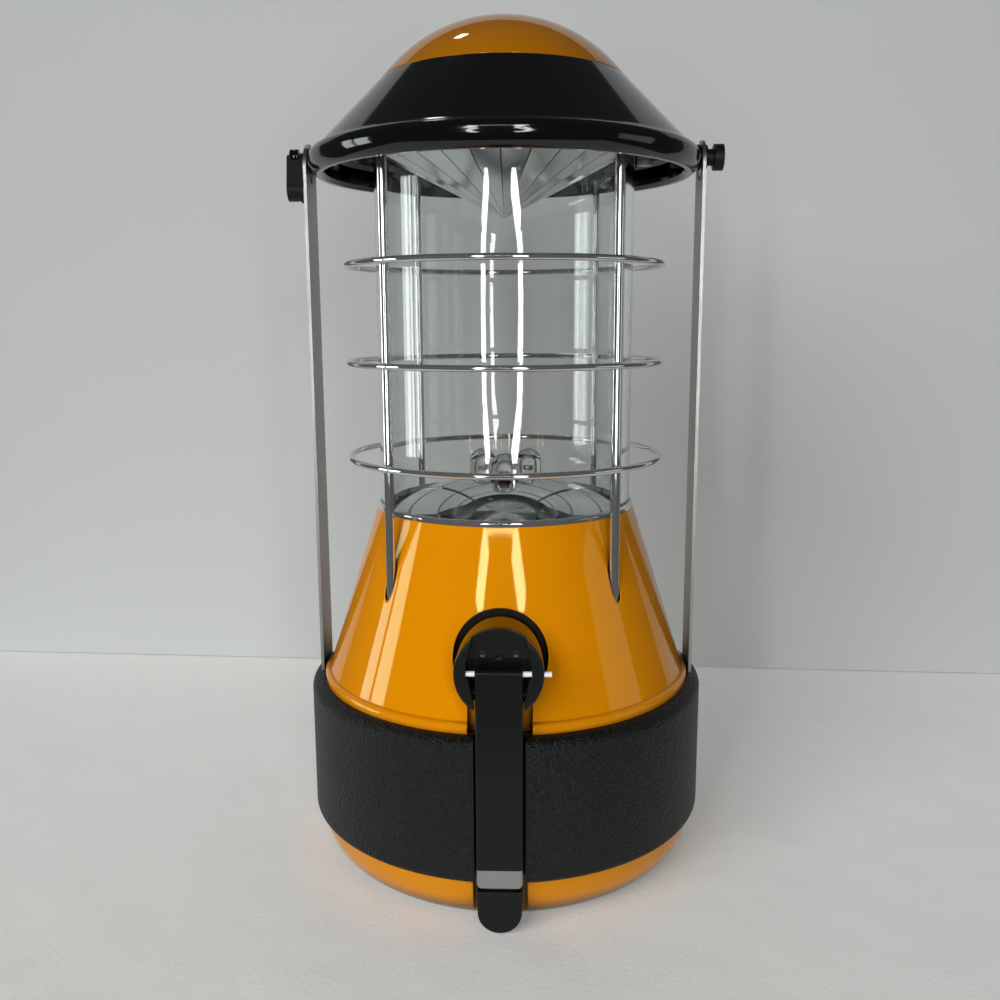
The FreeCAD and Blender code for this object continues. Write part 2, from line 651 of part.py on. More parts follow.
def make_battery_door():
    """Door flush with the underside: two round ears, countersunk screws, finger grooves."""
    pieces = [block("door_plate", battery_length, battery_width, dims.door_thick, 0.0, battery_front, 0.0)]
    cuts, screws = [], []
    for side in (-1, 1):
        y = door_screw_place(side)
        pieces.append(rod("door_ear", dims.door_ear, dims.door_thick, 0.0, y, 0.0))
        pieces.append(block("door_ear_web", dims.door_ear * 2, dims.door_ear_reach + 1.0, dims.door_thick,
                            0.0,
                            y if side < 0 else y - dims.door_ear_reach - 1.0, 0.0))
        cuts.append(rod("door_head_seat", dims.screw_head + dims.seat_gap, dims.door_thick, 0.0, y,
                        -dims.door_thick / 2))
        cuts.append(rod("door_shank_way", dims.screw_radius + dims.seat_gap, dims.door_thick * 3, 0.0, y,
                        -dims.door_thick))
        head_low = dims.seat_gap * 2
        head = rod("door_screw_head", dims.screw_head, dims.door_thick / 2 - head_low, 0.0, y, head_low)
        shank = rod("door_screw_shank", dims.screw_radius, dims.door_screw - head_low, 0.0, y, head_low)
        screws.append(fuse("door_screw", head, shank))
    for index in range(4):
        y = battery_front + battery_width - dims.cell_radius - dims.groove_depth * 6 * index
        cuts.append(block("door_groove", battery_length / 2, dims.groove_depth * 2.4,
                          dims.groove_depth * 2, 0.0, y,
                          -dims.groove_depth))
    part(cut("door_cut", fuse("door_form", *pieces), *cuts), "battery_door")
    part(group("door_screw_group", screws), "door_screws")


def make_plugs():
    """Four rubber plugs, flush with the underside, that cover the housing screws."""
    plugs = [rod("plug", dims.plug_radius, dims.plug_thick, screw_circle * cosine, screw_circle * sine, 0.0)
             for cosine, sine in screw_places()]
    part(group("plug_group", plugs), "screw_plugs")


def make_housing_screws():
    """Four screws that pull the cone down on the tub."""
    screws = []
    for cosine, sine in screw_places():
        x, y = screw_circle * cosine, screw_circle * sine
        head = rod("housing_screw_head", dims.screw_head, dims.screw_radius, x, y,
                   screw_seat - dims.screw_radius)
        shank = rod("housing_screw_shank", dims.screw_radius, dims.screw_reach, x, y, screw_seat)
        screws.append(fuse("housing_screw", head, shank))
    part(group("housing_screw_group", screws), "housing_screws")


def make_grip():
    """Rubber sleeve with a slot at the front and pockets for the two stays."""
    inner = dims.tub_radius + dims.seat_gap
    low = dims.skirt_top + dims.seat_gap
    sleeve = turned("grip_sleeve", [
        (inner, low), (grip_radius - dims.grip_foot, low, dims.grip_foot),
        (grip_radius, low + dims.grip_foot),
        (grip_radius, grip_top - dims.grip_round, dims.grip_round),
        (grip_radius - dims.grip_round, grip_top), (inner, grip_top)])
    slot = block("grip_slot", dims.slot_width, grip_radius, grip_top * 2, 0.0,
                 -(slot_floor + grip_radius), -grip_top / 2)
    pockets = []
    for side in (1, -1):
        near = tub_inside + dims.seat_gap
        depth = stay_outer + dims.seat_gap * 2 - near
        x = near + depth / 2 if side > 0 else -(near + depth / 2)
        pockets.append(block("stay_pocket", depth, dims.stay_width + dims.seat_gap * 2, grip_top, x,
                             -(dims.stay_width / 2 + dims.seat_gap), stay_low - dims.seat_gap * 2))
        for height in stay_screw_heights:
            pockets.append(side_rod("head_pocket", dims.screw_head + dims.seat_gap * 2, stay_outer,
                                    stay_outer + stay_head * 2, side, height))
    part(cut("grip_cut", sleeve, slot, *pockets), "rubber_grip")


stay_head = dims.seat_gap * 4


# Cone housing

def make_body_cone():
    """Yellow cone: rolled lip, crank pocket with boss, channel, ledge, rod sockets, button hole."""
    flank = turned("cone_flank_form", [
        (0.0, dims.tub_top), (dims.tub_radius, dims.tub_top),
        (dims.tub_radius, lip_top - dims.lip_round, dims.lip_round),
        (dims.tub_radius - dims.lip_round, lip_top),
        (cone_foot, lip_top), (cone_head, cone_top), (0.0, cone_top)])
    boss = rod("hub_boss", dims.hub_radius, boss_face, 0.0, -boss_face, crank_height, "y")
    outside = fuse("cone_outside_form", flank, boss)
    ledge_low = ledge_height - dims.ledge_thick
    hollow_form = turned("cone_inside_form", [
        (0.0, dims.tub_top), (tub_inside, dims.tub_top), (cone_foot - dims.cone_wall, lip_top),
        (cone_outside(ledge_low) - dims.cone_wall, ledge_low), (ledge_bore, ledge_low),
        (ledge_bore, ledge_height), (globe_bore, ledge_height),
        (globe_bore, cone_top), (0.0, cone_top)])
    cup = rod("pocket_cup", dims.pocket_radius + dims.liner_wall, hub_face - cup_back,
              0.0, -hub_face, crank_height, "y")
    channel_liner = block("channel_liner", dims.channel_width + dims.liner_wall * 2, dims.tub_radius,
                          crank_height - dims.tub_top, 0.0,
                          -(channel_floor - dims.liner_wall + dims.tub_radius), dims.tub_top)
    kept = [cup, channel_liner]
    for _, cosine, sine in around(4):
        kept.append(rod("rod_boss", dims.rod_radius + dims.boss_wall * 1.7, cone_top, rod_circle * cosine,
                        rod_circle * sine, rod_low - dims.boss_wall))
    boss_height = screw_seat + dims.screw_reach + dims.boss_wall - dims.tub_top
    for cosine, sine in screw_places():
        kept.append(rod("cone_boss", well_radius + dims.boss_wall, boss_height, screw_circle * cosine,
                        screw_circle * sine, dims.tub_top))
        kept.append(rib("cone_rib", screw_circle, dims.tub_radius, dims.web_thick, boss_height, cosine,
                        sine,
                        dims.tub_top))
    for side in (-1.0, 1.0):
        kept.append(rod("board_post", dims.post_radius, dims.tub_radius - board_place,
                        dims.post_place * side,
                        board_back, board_low + dims.post_radius * 2, "y"))
    hollow = cut("cone_hollow", hollow_form, *kept)
    pocket = cut("pocket_space",
                 rod("pocket_round", dims.pocket_radius, hub_face, 0.0, -(pocket_floor + hub_face),
                     crank_height, "y"),
                 rod("pocket_boss", dims.hub_radius, boss_face - boss_back, 0.0, -boss_face, crank_height,
                     "y"),
                 rod("pocket_neck", dims.neck_radius, boss_face - pocket_floor, 0.0, -boss_face,
                     crank_height, "y"))
    hub_way = rod("hub_way", hub_body + dims.seat_gap * 2, hub_face, 0.0,
                  -(hub_back - dims.face_gap + hub_face),
                  crank_height, "y")
    bush_way = rod("bush_way", dims.bush_radius, hub_face - cup_back + dims.seat_gap, 0.0, -hub_face,
                   crank_height, "y")
    channel = block("arm_channel", dims.channel_width, dims.tub_radius, crank_height - dims.tub_top + 2.0,
                    0.0, -(channel_floor + dims.tub_radius), dims.tub_top - 2.0)
    gear_space = rod("gear_space", drive_tip + dims.gear_room, dims.drive_thick + dims.gear_room * 2, 0.0,
                     -(drive_front + dims.gear_room), crank_height, "y")
    button_hole = rod("button_hole", dims.button_radius + dims.face_gap, dims.tub_radius, 0.0,
                      board_back + dims.switch_depth, button_height, "y")
    cuts = [pocket, hub_way, bush_way, channel, gear_space, button_hole]
    for _, cosine, sine in around(4):
        x, y = rod_circle * cosine, rod_circle * sine
        cuts.append(rod("rod_tight_bore", dims.rod_radius + dims.press_gap, cone_top, x, y, rod_low))
        cuts.append(rod("rod_groove", dims.rod_radius + dims.seat_gap * 5, cone_top, x, y, rod_free))
    for cosine, sine in screw_places():
        cuts.append(rod("cone_screw_bore", dims.screw_radius + dims.press_gap,
                        screw_seat + dims.screw_reach + dims.seat_gap - dims.tub_top, screw_circle * cosine,
                        screw_circle * sine, dims.tub_top))
    part(cut("cone_shell", outside, hollow, *cuts), "body_cone")
    part(tube("dust_ring_form", dims.pocket_radius - dims.seat_gap, dims.neck_radius + dims.press_gap,
              dims.dust_ring, 0.0, -(pocket_floor + dims.dust_ring), crank_height, "y"), "dust_ring")


drive_tip = (dims.drive_teeth / 2 + 0.9) * dims.gear_module


def make_globe():
    """Clear tube, its two sealing rings and the chrome ring round its foot."""
    slack = dims.press_gap * 1.5
    part(tube("globe_tube", globe_radius, globe_inside, dims.globe_length, z=globe_low), "globe")
    part(tube("low_seal", globe_radius, globe_inside, dims.seal_height - slack * 2, z=ledge_height + slack),
         "globe_lower_seal")
    part(tube("high_seal", globe_radius, globe_inside, dims.seal_height - slack * 2, z=globe_high + slack),
         "globe_upper_seal")
    ring = turned("trim_ring", [
        (globe_bore, cone_top), (cone_head, cone_top),
        (cone_head, cone_top + dims.trim_height / 2, dims.trim_height / 1.6),
        (globe_bore, cone_top + dims.trim_height)])
    part(ring, "globe_trim_ring")


def make_lower_mirror():
    """Mirrored dome on a straight skirt, with three holes for the lamps."""
    foot = ledge_height + dims.press_gap
    curve = dims.mirror_curve - dims.mirror_wall
    inside = mirror_radius - dims.mirror_wall
    form = turned("mirror_form", [
        (0.0, mirror_top - dims.mirror_wall, -curve),
        (inside, mirror_centre + root(curve * curve - inside * inside)),
        (inside, foot), (mirror_radius, foot), (mirror_radius, mirror_rim, dims.mirror_curve),
        (0.0, mirror_top)])
    holes = [rod("lamp_hole", dims.lamp_radius + dims.seat_gap, mirror_top - lamp_board_top,
                 dims.lamp_circle * cosine, dims.lamp_circle * sine, lamp_board_top)
             for _, cosine, sine in around(3, -90.0)]
    part(cut("mirror_cut", form, *holes), "lower_mirror")


def make_lamps():
    """Three clear diodes that stand on a round board and look out of the lower mirror."""
    lamps = []
    for _, cosine, sine in around(3, -90.0):
        x, y = dims.lamp_circle * cosine, dims.lamp_circle * sine
        straight = dims.lamp_height - dims.lamp_radius
        flange = rod("lamp_collar", dims.lamp_radius + dims.lamp_flange, dims.lamp_radius * 0.3, x, y,
                     lamp_board_top)
        stem = rod("lamp_stem", dims.lamp_radius, straight, x, y, lamp_board_top)
        dome = doc.addObject("Part::Sphere", "lamp_dome")
        bind(dome, Radius=dims.lamp_radius, Angle1=0.0)
        place(dome, x, y, lamp_board_top + straight)
        lamps.append(fuse("lamp", flange, stem, dome))
    part(group("lamp_group", lamps), "lamps")
    part(rod("lamp_board_disc", dims.lamp_circle + dims.lamp_radius + dims.lamp_flange
             + dims.lamp_board_edge, dims.board_thick, 0.0, 0.0, lamp_board_top - dims.board_thick),
         "lamp_board")


# Guard cage

def make_guard():
    """Four rods, three rings outside them, sockets and nuts at the cap."""
    tight = dims.rod_radius + dims.press_gap
    for index, cosine, sine in around(4, -135.0):
        x, y = rod_circle * cosine, rod_circle * sine
        part(rod("guard_rod", dims.rod_radius, rod_high - rod_low, x, y, rod_low),
             "guard_rod_%d" % (index + 1))
    for index, word in enumerate(("lower", "middle", "upper")):
        ring = doc.addObject("Part::Torus", "guard_ring")
        bind(ring, Radius1=rod_circle + tight + dims.wire_radius, Radius2=dims.wire_radius)
        place(ring, 0.0, 0.0, guard_low + dims.guard_pitch * index)
        part(ring, "guard_ring_" + word)
    sockets, nuts = [], []
    for _, cosine, sine in around(4):
        x, y = rod_circle * cosine, rod_circle * sine
        sockets.append(tube("rod_socket", dims.socket_radius, tight, dims.socket_height, x, y,
                            cap_plate_low - dims.socket_height - dims.press_gap))
        nut = doc.addObject("Part::Prism", "rod_nut_form")
        bind(nut, Circumradius=dims.nut_corner, Height=dims.nut_height)
        nut.Polygon = 6
        place(nut, x, y, cap_plate_high + dims.press_gap)
        bore = rod("rod_nut_bore", tight, dims.nut_height * 2, x, y, cap_plate_high)
        nuts.append(cut("rod_nut", nut, bore))
    part(group("socket_group", sockets), "rod_sockets")
    part(group("nut_group", nuts), "rod_nuts")


# Cap

def make_cap():
    """Black shade with rolled rim, yellow dome, cap plate and its screws."""
    make_cap_shade()
    make_cap_dome()
    plate_form = rod("cap_plate_form", cap_plate_radius, dims.cap_plate_thick, z=cap_plate_low)
    holes = [rod("plate_rod_hole", dims.rod_radius + dims.press_gap, dims.cap_plate_thick * 3,
                 rod_circle * cosine,
                 rod_circle * sine, cap_plate_low - dims.cap_plate_thick) for _, cosine, sine in around(4)]
    screws = []
    for _, cosine, sine in around(4, 22.5):
        x, y = cap_screw_circle * cosine, cap_screw_circle * sine
        holes.append(rod("plate_screw_hole", dims.screw_radius + dims.press_gap, dims.cap_plate_thick * 3,
                         x, y,
                         cap_plate_low - dims.cap_plate_thick))
        head_low = cap_plate_low - dims.screw_radius - dims.press_gap
        head = rod("cap_screw_head", dims.screw_head, dims.screw_radius, x, y, head_low)
        shank = rod("cap_screw_shank", dims.screw_radius, shelf_low + dims.shelf_thick - head_low, x, y,
                    head_low)
        screws.append(fuse("cap_screw", head, shank))
    part(cut("cap_plate_cut", plate_form, *holes), "cap_plate")
    part(group("cap_screw_group", screws), "cap_screws")


shelf_low = cap_plate_high + dims.seat_gap


def make_cap_shade():
    """Shade: straight flank, rolled rim, inner shelf, seats for the spacers of the stays."""
    shelf_high = shelf_low + dims.shelf_thick
    shelf_bore = cap_plate_radius - dims.shelf_reach
    slope = (bead_radius - dims.seam_radius) / dims.shade_rise
    inside_low = dims.seam_radius + (seam_height - shelf_low) * slope - dims.shade_wall
    inside_high = dims.seam_radius + (seam_height - shelf_high) * slope - dims.shade_wall
    flat = dims.rim_width / 2
    shade = turned("shade_form", [
        (dims.seam_radius, seam_height), (dims.seam_radius - dims.shade_wall, seam_height),
        (inside_high, shelf_high), (shelf_bore, shelf_high), (shelf_bore, shelf_low), (inside_low,
                                                                                       shelf_low),
        (rim_opening - 0.6, cap_plate_low - 1.0), (rim_opening, rim_low + 1.2),
        (rim_opening + 1.0, rim_low), (rim_radius - flat, rim_low, dims.rim_under),
        (rim_radius, rim_height, dims.rim_over), (bead_radius + 0.5, bead_height - 0.4),
        (bead_radius, bead_height)])
    cuts = []
    for side in (1, -1):
        cuts.append(side_rod("spacer_seat", dims.spacer_radius + dims.seat_gap, spacer_near - dims.seat_gap,
                             stay_inner + dims.rim_width, side, stud_height))
        cuts.append(side_rod("stud_bore", dims.stud_radius + dims.press_gap, stud_near - dims.rim_width,
                             stay_inner,
                             side, stud_height))
    for _, cosine, sine in around(4, 22.5):
        cuts.append(rod("cap_screw_hole", dims.screw_radius + dims.press_gap, dims.shelf_thick * 3,
                        cap_screw_circle * cosine, cap_screw_circle * sine, shelf_low - dims.shelf_thick))
    for _, cosine, sine in around(4):
        cuts.append(rod("nut_relief", dims.nut_corner + dims.seat_gap * 4,
                        rod_high + dims.face_gap - cap_plate_high, rod_circle * cosine, rod_circle * sine,
                        cap_plate_high))
    part(cut("shade_cut", shade, *cuts), "cap_shade")


spacer_near = rim_radius - dims.rim_width / 2
stud_near = rim_opening - dims.stud_radius * 2


def make_cap_dome():
    """Yellow dome, part of a ball, with a spigot that slips into the shade."""
    curve = (dims.seam_radius * dims.seam_radius + dims.dome_rise * dims.dome_rise) / (dims.dome_rise * 2)
    centre = dome_top - curve
    spigot = dims.seam_radius - dims.shade_wall - dims.spigot_gap
    crown = common("dome_crown", sphere("dome_ball", curve, centre),
                   rod("dome_zone", dims.seam_radius, dims.dome_rise, z=seam_height + dims.press_gap * 1.5))
    collar = rod("dome_collar", spigot, dims.spigot_depth + dims.dome_wall / 2,
                 z=seam_height - dims.spigot_depth)
    hollow = common("dome_hollow", sphere("dome_inner_ball", curve - dims.dome_wall, centre),
                    rod("dome_throat", spigot - dims.dome_wall, dome_top,
                        z=seam_height - dims.spigot_depth - 1.0))
    part(cut("dome_cut", fuse("dome_form", crown, collar), hollow), "cap_dome")


def facet_cone(radius, rim, tip, top, sides):
    """A solid point of flat faces below a short straight collar, measured from its tip."""
    ring = [FreeCAD.Vector(radius * math.cos(2 * math.pi * step / sides),
                           radius * math.sin(2 * math.pi * step / sides),
                           rim - tip) for step in range(sides)]
    lift = FreeCAD.Vector(0, 0, top - rim)
    faces = []
    for step in range(sides):
        here, there = ring[step], ring[(step + 1) % sides]
        faces.append(Part.Face(Part.makePolygon([FreeCAD.Vector(0, 0, 0), here, there,
                                                 FreeCAD.Vector(0, 0, 0)])))
        faces.append(Part.Face(Part.makePolygon([here, there, there + lift, here + lift, here])))
    faces.append(Part.Face(Part.makePolygon([point + lift for point in ring] + [ring[0] + lift])))
    return Part.makeSolid(Part.makeShell(faces))


def make_upper_mirror():
    """Faceted mirror cone that points down at the lamps, hollow behind."""
    radius, tip = spike_radius.number, spike_low.number
    rim, top = spike_rim.number, (cap_plate_low - dims.press_gap * 1.5).number
    sides = int(dims.spike_faces.number)
    wall = dims.mirror_wall.number
    outer = facet_cone(radius, rim, tip, top, sides)
    inner = facet_cone(radius - wall * 1.6, rim + wall / 6, tip, top + wall, sides)
    inner.translate(FreeCAD.Vector(0, 0, wall * 1.1))
    part(solid_feature("mirror_point", outer.cut(inner), 0.0, 0.0, spike_low), "upper_mirror")


# Stays, studs and their knobs

def make_stays():
    """Two flat straps from under the grip to the cap rim, with slots for the studs."""
    screws, studs, spacers = [], [], []
    half_slot = dims.stud_slot / 2
    near, far = stay_inner - dims.stay_thick, stay_outer + dims.stay_thick
    for side, word in ((-1, "left"), (1, "right")):
        middle = stay_inner + dims.stay_thick / 2
        x = middle if side > 0 else -middle
        head_height = stay_high - dims.stay_width / 2
        strap = block("stay_strap", dims.stay_thick, dims.stay_width, head_height - stay_low, x,
                      -dims.stay_width / 2, stay_low)
        head = side_rod("stay_head", dims.stay_width / 2, stay_inner, stay_outer, side, head_height)
        slot = block("stay_slot", dims.stay_thick * 3, dims.stud_slot,
                     stud_height - stud_slot_low - half_slot, x,
                     -half_slot, stud_slot_low + half_slot)
        holes = [side_rod("stay_slot_end", half_slot, near, far, side, height)
                 for height in (stud_height, stud_slot_low + half_slot)]
        for height in stay_screw_heights:
            holes.append(side_rod("stay_screw_hole", dims.screw_radius + dims.seat_gap, near, far, side,
                                  height))
            shank = side_rod("stay_screw_shank", dims.screw_radius, dims.tub_radius - dims.stay_screw
                             + dims.seat_gap, stay_outer + stay_head, side, height)
            flat = side_rod("stay_screw_head", dims.screw_head, stay_outer + dims.press_gap,
                            stay_outer + stay_head,
                            side, height)
            screws.append(fuse("stay_screw", shank, flat))
        part(cut("stay_cut", fuse("stay_form", strap, head), slot, *holes), "side_stay_" + word)
        studs.append(side_rod("stay_stud", dims.stud_radius, stud_near, knob_end, side, stud_height))
        bore = side_rod("spacer_bore", dims.stud_radius + dims.press_gap, spacer_near, stay_inner, side,
                        stud_height)
        form = side_rod("spacer_form", dims.spacer_radius, spacer_near, stay_inner - dims.press_gap, side,
                        stud_height)
        spacers.append(cut("stay_spacer", form, bore))
    part(group("stay_screw_group", screws), "stay_screws")
    part(group("stay_stud_group", studs), "stay_studs")
    part(group("stay_spacer_group", spacers), "stay_spacers")


spool_start = stay_outer + dims.face_gap
knob_end = spool_start + 4.7


def make_stud_knobs():
    """Spool shaped knob on the right stud and hanging clamp lever on the left one."""
    loose = dims.stud_radius + dims.run_gap
    bore_end = knob_end + dims.seat_gap * 3
    forms = [side_rod("knob_flange", dims.spool_flange, spool_start, spool_start + 0.8, 1, stud_height),
             side_rod("knob_neck", dims.spool_neck, spool_start, spool_start + 4.0, 1, stud_height),
             side_rod("knob_head", dims.spool_head, spool_start + 3.0, spool_start + 6.0, 1, stud_height)]
    bore = side_rod("knob_bore", loose, stay_outer, bore_end, 1, stud_height)
    part(cut("right_knob_cut", fuse("right_knob_form", *forms), bore), "right_knob")

    tail = stud_height - dims.lever_drop
    pieces = []
    near = spool_start
    for name, radius, thick in (("slab", 4.2, dims.lever_slab), ("lobe", 3.7, dims.lever_lobe)):
        far = near + thick
        pieces.append(side_rod("lever_top_" + name, radius - 1.6, near, far, -1, stud_height))
        pieces.append(side_rod("lever_tail_" + name, radius, near, far, -1, tail))
        pieces.append(padded("lever_web_" + name, "YZ_Plane", [
            (1.6 - radius, 0.0), (0.0 - radius, -dims.lever_drop), (radius, -dims.lever_drop),
            (radius - 1.6, 0.0)], thick, -far, 0.0, stud_height))
        near = far
    bore = side_rod("lever_bore", loose, stay_outer, bore_end, -1, stud_height)
    sweep = dims.lever_drop * 1.6
    scoop = rod("lever_scoop", sweep, dims.stay_width, -(near + sweep - 1.6), -dims.stay_width / 2,
                tail - dims.lever_drop * 1.35, "y")
    part(cut("left_lever_cut", fuse("left_lever_form", *pieces), bore, scoop), "left_lever")


# Crank

def rounded_bar(name, width, front, back, height, low, radius):
    """An upright bar whose two front edges are rounded."""
    half = width / 2
    return padded(name, "XY_Plane", [
        (radius - half, -front), (half - radius, -front, radius), (half, radius - front), (half, -back),
        (-half, -back), (-half, radius - front, radius)], height, 0.0, 0.0, low)


def turned_back(name, points, front, height):
    """A body turned round a level axis: the outline (radius, depth) runs back from the front."""
    body = doc.addObject("PartDesign::Body", name)
    sketch = outline(body, "XZ_Plane", points, name + "_outline")
    turn = body.newObject("PartDesign::Revolution", name + "_revolution")
    turn.Profile = (sketch, [""])
    turn.ReferenceAxis = (sketch, ["V_Axis"])
    turn.Angle = 360.0
    body.Tip = turn
    return place(body, 0.0, -front, height, TURN_TO_Y)


def make_crank_hub():
    """Hub with a thin rim, curved slot cheeks, a flat seat over the pin and the hinge pin."""
    axis = crank_height
    disc = turned_back("hub_disc", [
        (0.0, 0.0), (dims.hub_radius - dims.hub_round, 0.0, dims.hub_round), (dims.hub_radius,
                                                                              dims.hub_round),
        (dims.hub_radius, dims.hub_rim), (hub_body, dims.hub_rim), (hub_body, dims.hub_depth),
        (0.0, dims.hub_depth)], hub_face, axis)
    reach = dims.hub_radius + dims.liner_wall
    curve = dims.hub_belly_curve
    waist = dims.hub_belly - curve + root(curve * curve - reach * reach)
    deep = dims.hub_depth - dims.hub_web
    slot = padded("hub_slot", "XZ_Plane", [
        (-waist, -reach), (waist, -reach, curve), (waist, reach), (-waist, reach, curve)],
        deep, 0.0, -(hub_face - deep), axis)
    seat_front = hub_face - dims.hub_seat
    seat = common("hub_seat_form", disc,
                  block("hub_seat_block", dims.hub_belly * 2, dims.hub_depth - dims.hub_seat, reach, 0.0,
                        -seat_front, axis + dims.hub_seat_lift))
    notch = rod("hub_notch", dims.pin_inset, dims.pin_radius, 0.0, -seat_front, axis + dims.hub_seat_lift,
                "y")
    pin_length = dims.pin_left + dims.pin_right
    pin_hole = rod("pin_hole", dims.pin_radius + dims.press_gap, pin_length, -dims.pin_left, -pin_place,
                   axis, "x")
    shaft_hole = rod("hub_shaft_hole", dims.shaft_radius + dims.press_gap, dims.hub_depth, 0.0,
                     -shaft_front, axis,
                     "y")
    hub = cut("hub_cut", fuse("hub_form", cut("hub_slotted", disc, slot), seat), notch, pin_hole,
              shaft_hole)
    part(hub, "crank_hub")
    part(rod("hinge_pin", dims.pin_radius, pin_length, -dims.pin_left, -pin_place, axis, "x"), "crank_pin")


shaft_front = hub_back + dims.hub_web * 0.75


def make_crank_arm():
    """Folding arm with rounded edges, metal collar, tongue, knob axle and knob."""
    axis = crank_height
    beam = rounded_bar("arm_beam", dims.arm_width, hub_face, arm_back, axis - arm_end, arm_end,
                       dims.arm_round)
    knuckle = rod("arm_knuckle", dims.pin_inset, dims.arm_width, -dims.arm_width / 2, -pin_place, axis, "x")
    relief = block("arm_relief", dims.arm_width * 2, dims.arm_thick, dims.arm_thick, 0.0,
                   -(pin_place - dims.pin_inset), axis - dims.arm_thick * 0.68)
    neck = block("arm_neck", dims.neck_width, dims.neck_thick, arm_end - tongue_top + dims.liner_wall, 0.0,
                 -(hub_face - dims.neck_inset), tongue_top - dims.liner_wall / 2)
    tongue = fuse("arm_tongue",
                  block("tongue_block", dims.tongue_radius * 2, dims.arm_thick, dims.tongue_straight, 0.0,
                        -hub_face, knob_height),
                  rod("tongue_end", dims.tongue_radius, dims.arm_thick, 0.0, -hub_face, knob_height, "y"))
    trough_low = arm_end + dims.liner_wall * 1.5
    trough = block("arm_trough", dims.arm_width - dims.liner_wall * 2, dims.arm_thick - dims.arm_skin,
                   axis - dims.hub_radius - trough_low, 0.0, -(hub_face - dims.arm_skin), trough_low)
    pin_way = rod("arm_pin_way", dims.pin_radius + dims.run_gap, dims.arm_width * 2, -dims.arm_width,
                  -pin_place, axis, "x")
    axle_way = rod("axle_way", dims.axle_radius + dims.press_gap, dims.axle_seat * 2, 0.0,
                   -(arm_back + dims.axle_seat + dims.seat_gap), knob_height, "y")
    arm = cut("arm_cut", fuse("arm_form", beam, knuckle, neck, tongue), relief, trough, pin_way, axle_way)
    part(arm, "crank_arm")

    slip = dims.press_gap
    collar_bar = rounded_bar("collar_bar", dims.arm_width - dims.seat_gap, hub_face, arm_back,
                             dims.collar_height - slip * 2, collar_low + slip, dims.arm_round)
    half = (dims.arm_width - dims.seat_gap) / 2
    corner = dims.collar_round
    shield = padded("collar_shield", "XZ_Plane", [
        (corner - half, 0.0), (half - corner, 0.0, corner), (half, corner), (half, dims.collar_height),
        (-half, dims.collar_height), (-half, corner, corner)],
        dims.arm_thick * 2, 0.0, -(arm_back - dims.arm_thick / 2), collar_low + slip)
    collar_way = block("collar_way", dims.neck_width + slip * 2, dims.neck_thick + slip * 2,
                       dims.collar_height * 2, 0.0, -(hub_face - dims.neck_inset + slip),
                       collar_low - dims.neck_inset)
    part(cut("collar_cut", common("collar_form", collar_bar, shield), collar_way), "arm_collar")

    axle_front = arm_back + dims.axle_seat
    axle_tip = knob_front - dims.knob_length + dims.knob_tip + dims.seat_gap * 2
    part(rod("knob_axle_rod", dims.axle_radius, axle_front - axle_tip, 0.0, -axle_front, knob_height, "y"),
         "knob_axle")
    knob_bore = dims.axle_radius + dims.run_gap
    knob = turned_back("knob_body", [
        (knob_bore, 0.0), (dims.knob_radius, 0.0),
        (dims.knob_radius, dims.knob_length - dims.knob_round, dims.knob_round),
        (dims.knob_radius - dims.knob_round, dims.knob_length), (0.0, dims.knob_length),
        (0.0, dims.knob_length - dims.knob_tip), (knob_bore, dims.knob_length - dims.knob_tip)],
        knob_front, knob_height)
    part(knob, "crank_knob")


def make_crank_shaft():
    """Shaft from the hub to the rear gear plate, its bush and the one way clutch."""
    axis = crank_height
    part(rod("shaft_rod", dims.shaft_radius, shaft_front - plates_back, 0.0, -shaft_front, axis, "y"),
         "crank_shaft")
    bush_front = hub_back - dims.face_gap * 2
    part(tube("bush_tube", dims.bush_radius - dims.press_gap, dims.shaft_radius + dims.run_gap,
              bush_front - cup_back, 0.0, -bush_front, axis, "y"), "shaft_bush")
    clutch = rod("clutch_disc", dims.clutch_radius, dims.drive_thick, 0.0, -drive_front, axis, "y")
    deep = dims.drive_thick * 2
    near = -(drive_front + dims.gear_room)
    cuts = [rod("roller_notch", dims.roller_radius, deep, dims.clutch_radius * cosine, near,
                axis + dims.clutch_radius * sine, "y") for _, cosine, sine in around(3, 90.0)]
    cuts.append(rod("clutch_bore", dims.shaft_radius + dims.press_gap, deep, 0.0, near, axis, "y"))
    part(cut("clutch_cut", clutch, *cuts), "clutch_hub")


# Gear train

def gear_face(teeth, module, backlash):
    """Face of an involute gear; the flanks keep a little play."""
    pitch = teeth * module / 2.0
    base = pitch * math.cos(math.radians(20.0))
    tip = pitch + 0.9 * module
    foot = pitch - 1.2 * module
    half_at_pitch = math.pi / (2.0 * teeth) - backlash / (2.0 * pitch)
    roll = math.tan(math.radians(20.0)) - math.radians(20.0)
    points = []
    for tooth in range(teeth):
        middle = 2.0 * math.pi * tooth / teeth
        flank = [(foot, half_at_pitch + roll)]
        for step in range(4):
            radius = max(base, foot) + (tip - max(base, foot)) * step / 3.0
            lean = math.acos(min(1.0, base / radius))
            flank.append((radius, half_at_pitch + roll - (math.tan(lean) - lean)))
        for radius, half in flank:
            points.append((radius, middle - half))
        for radius, half in reversed(flank):
            points.append((radius, middle + half))
    corners = [FreeCAD.Vector(radius * math.cos(angle), radius * math.sin(angle), 0) for radius,
               angle in points]
    return Part.Face(Part.makePolygon(corners + [corners[0]]))


def gear_solid(teeth, module, thick, bore, turn_degrees=0.0):
    """A spur gear on Z with its bore, turned by part of a pitch so that it meshes."""
    solid = gear_face(int(teeth), module, dims.gear_play.number).extrude(FreeCAD.Vector(0, 0, thick))
    if bore:
        solid = solid.cut(Part.makeCylinder(bore, thick))
    solid.rotate(FreeCAD.Vector(0, 0, 0), FreeCAD.Vector(0, 0, 1), turn_degrees)
    return solid


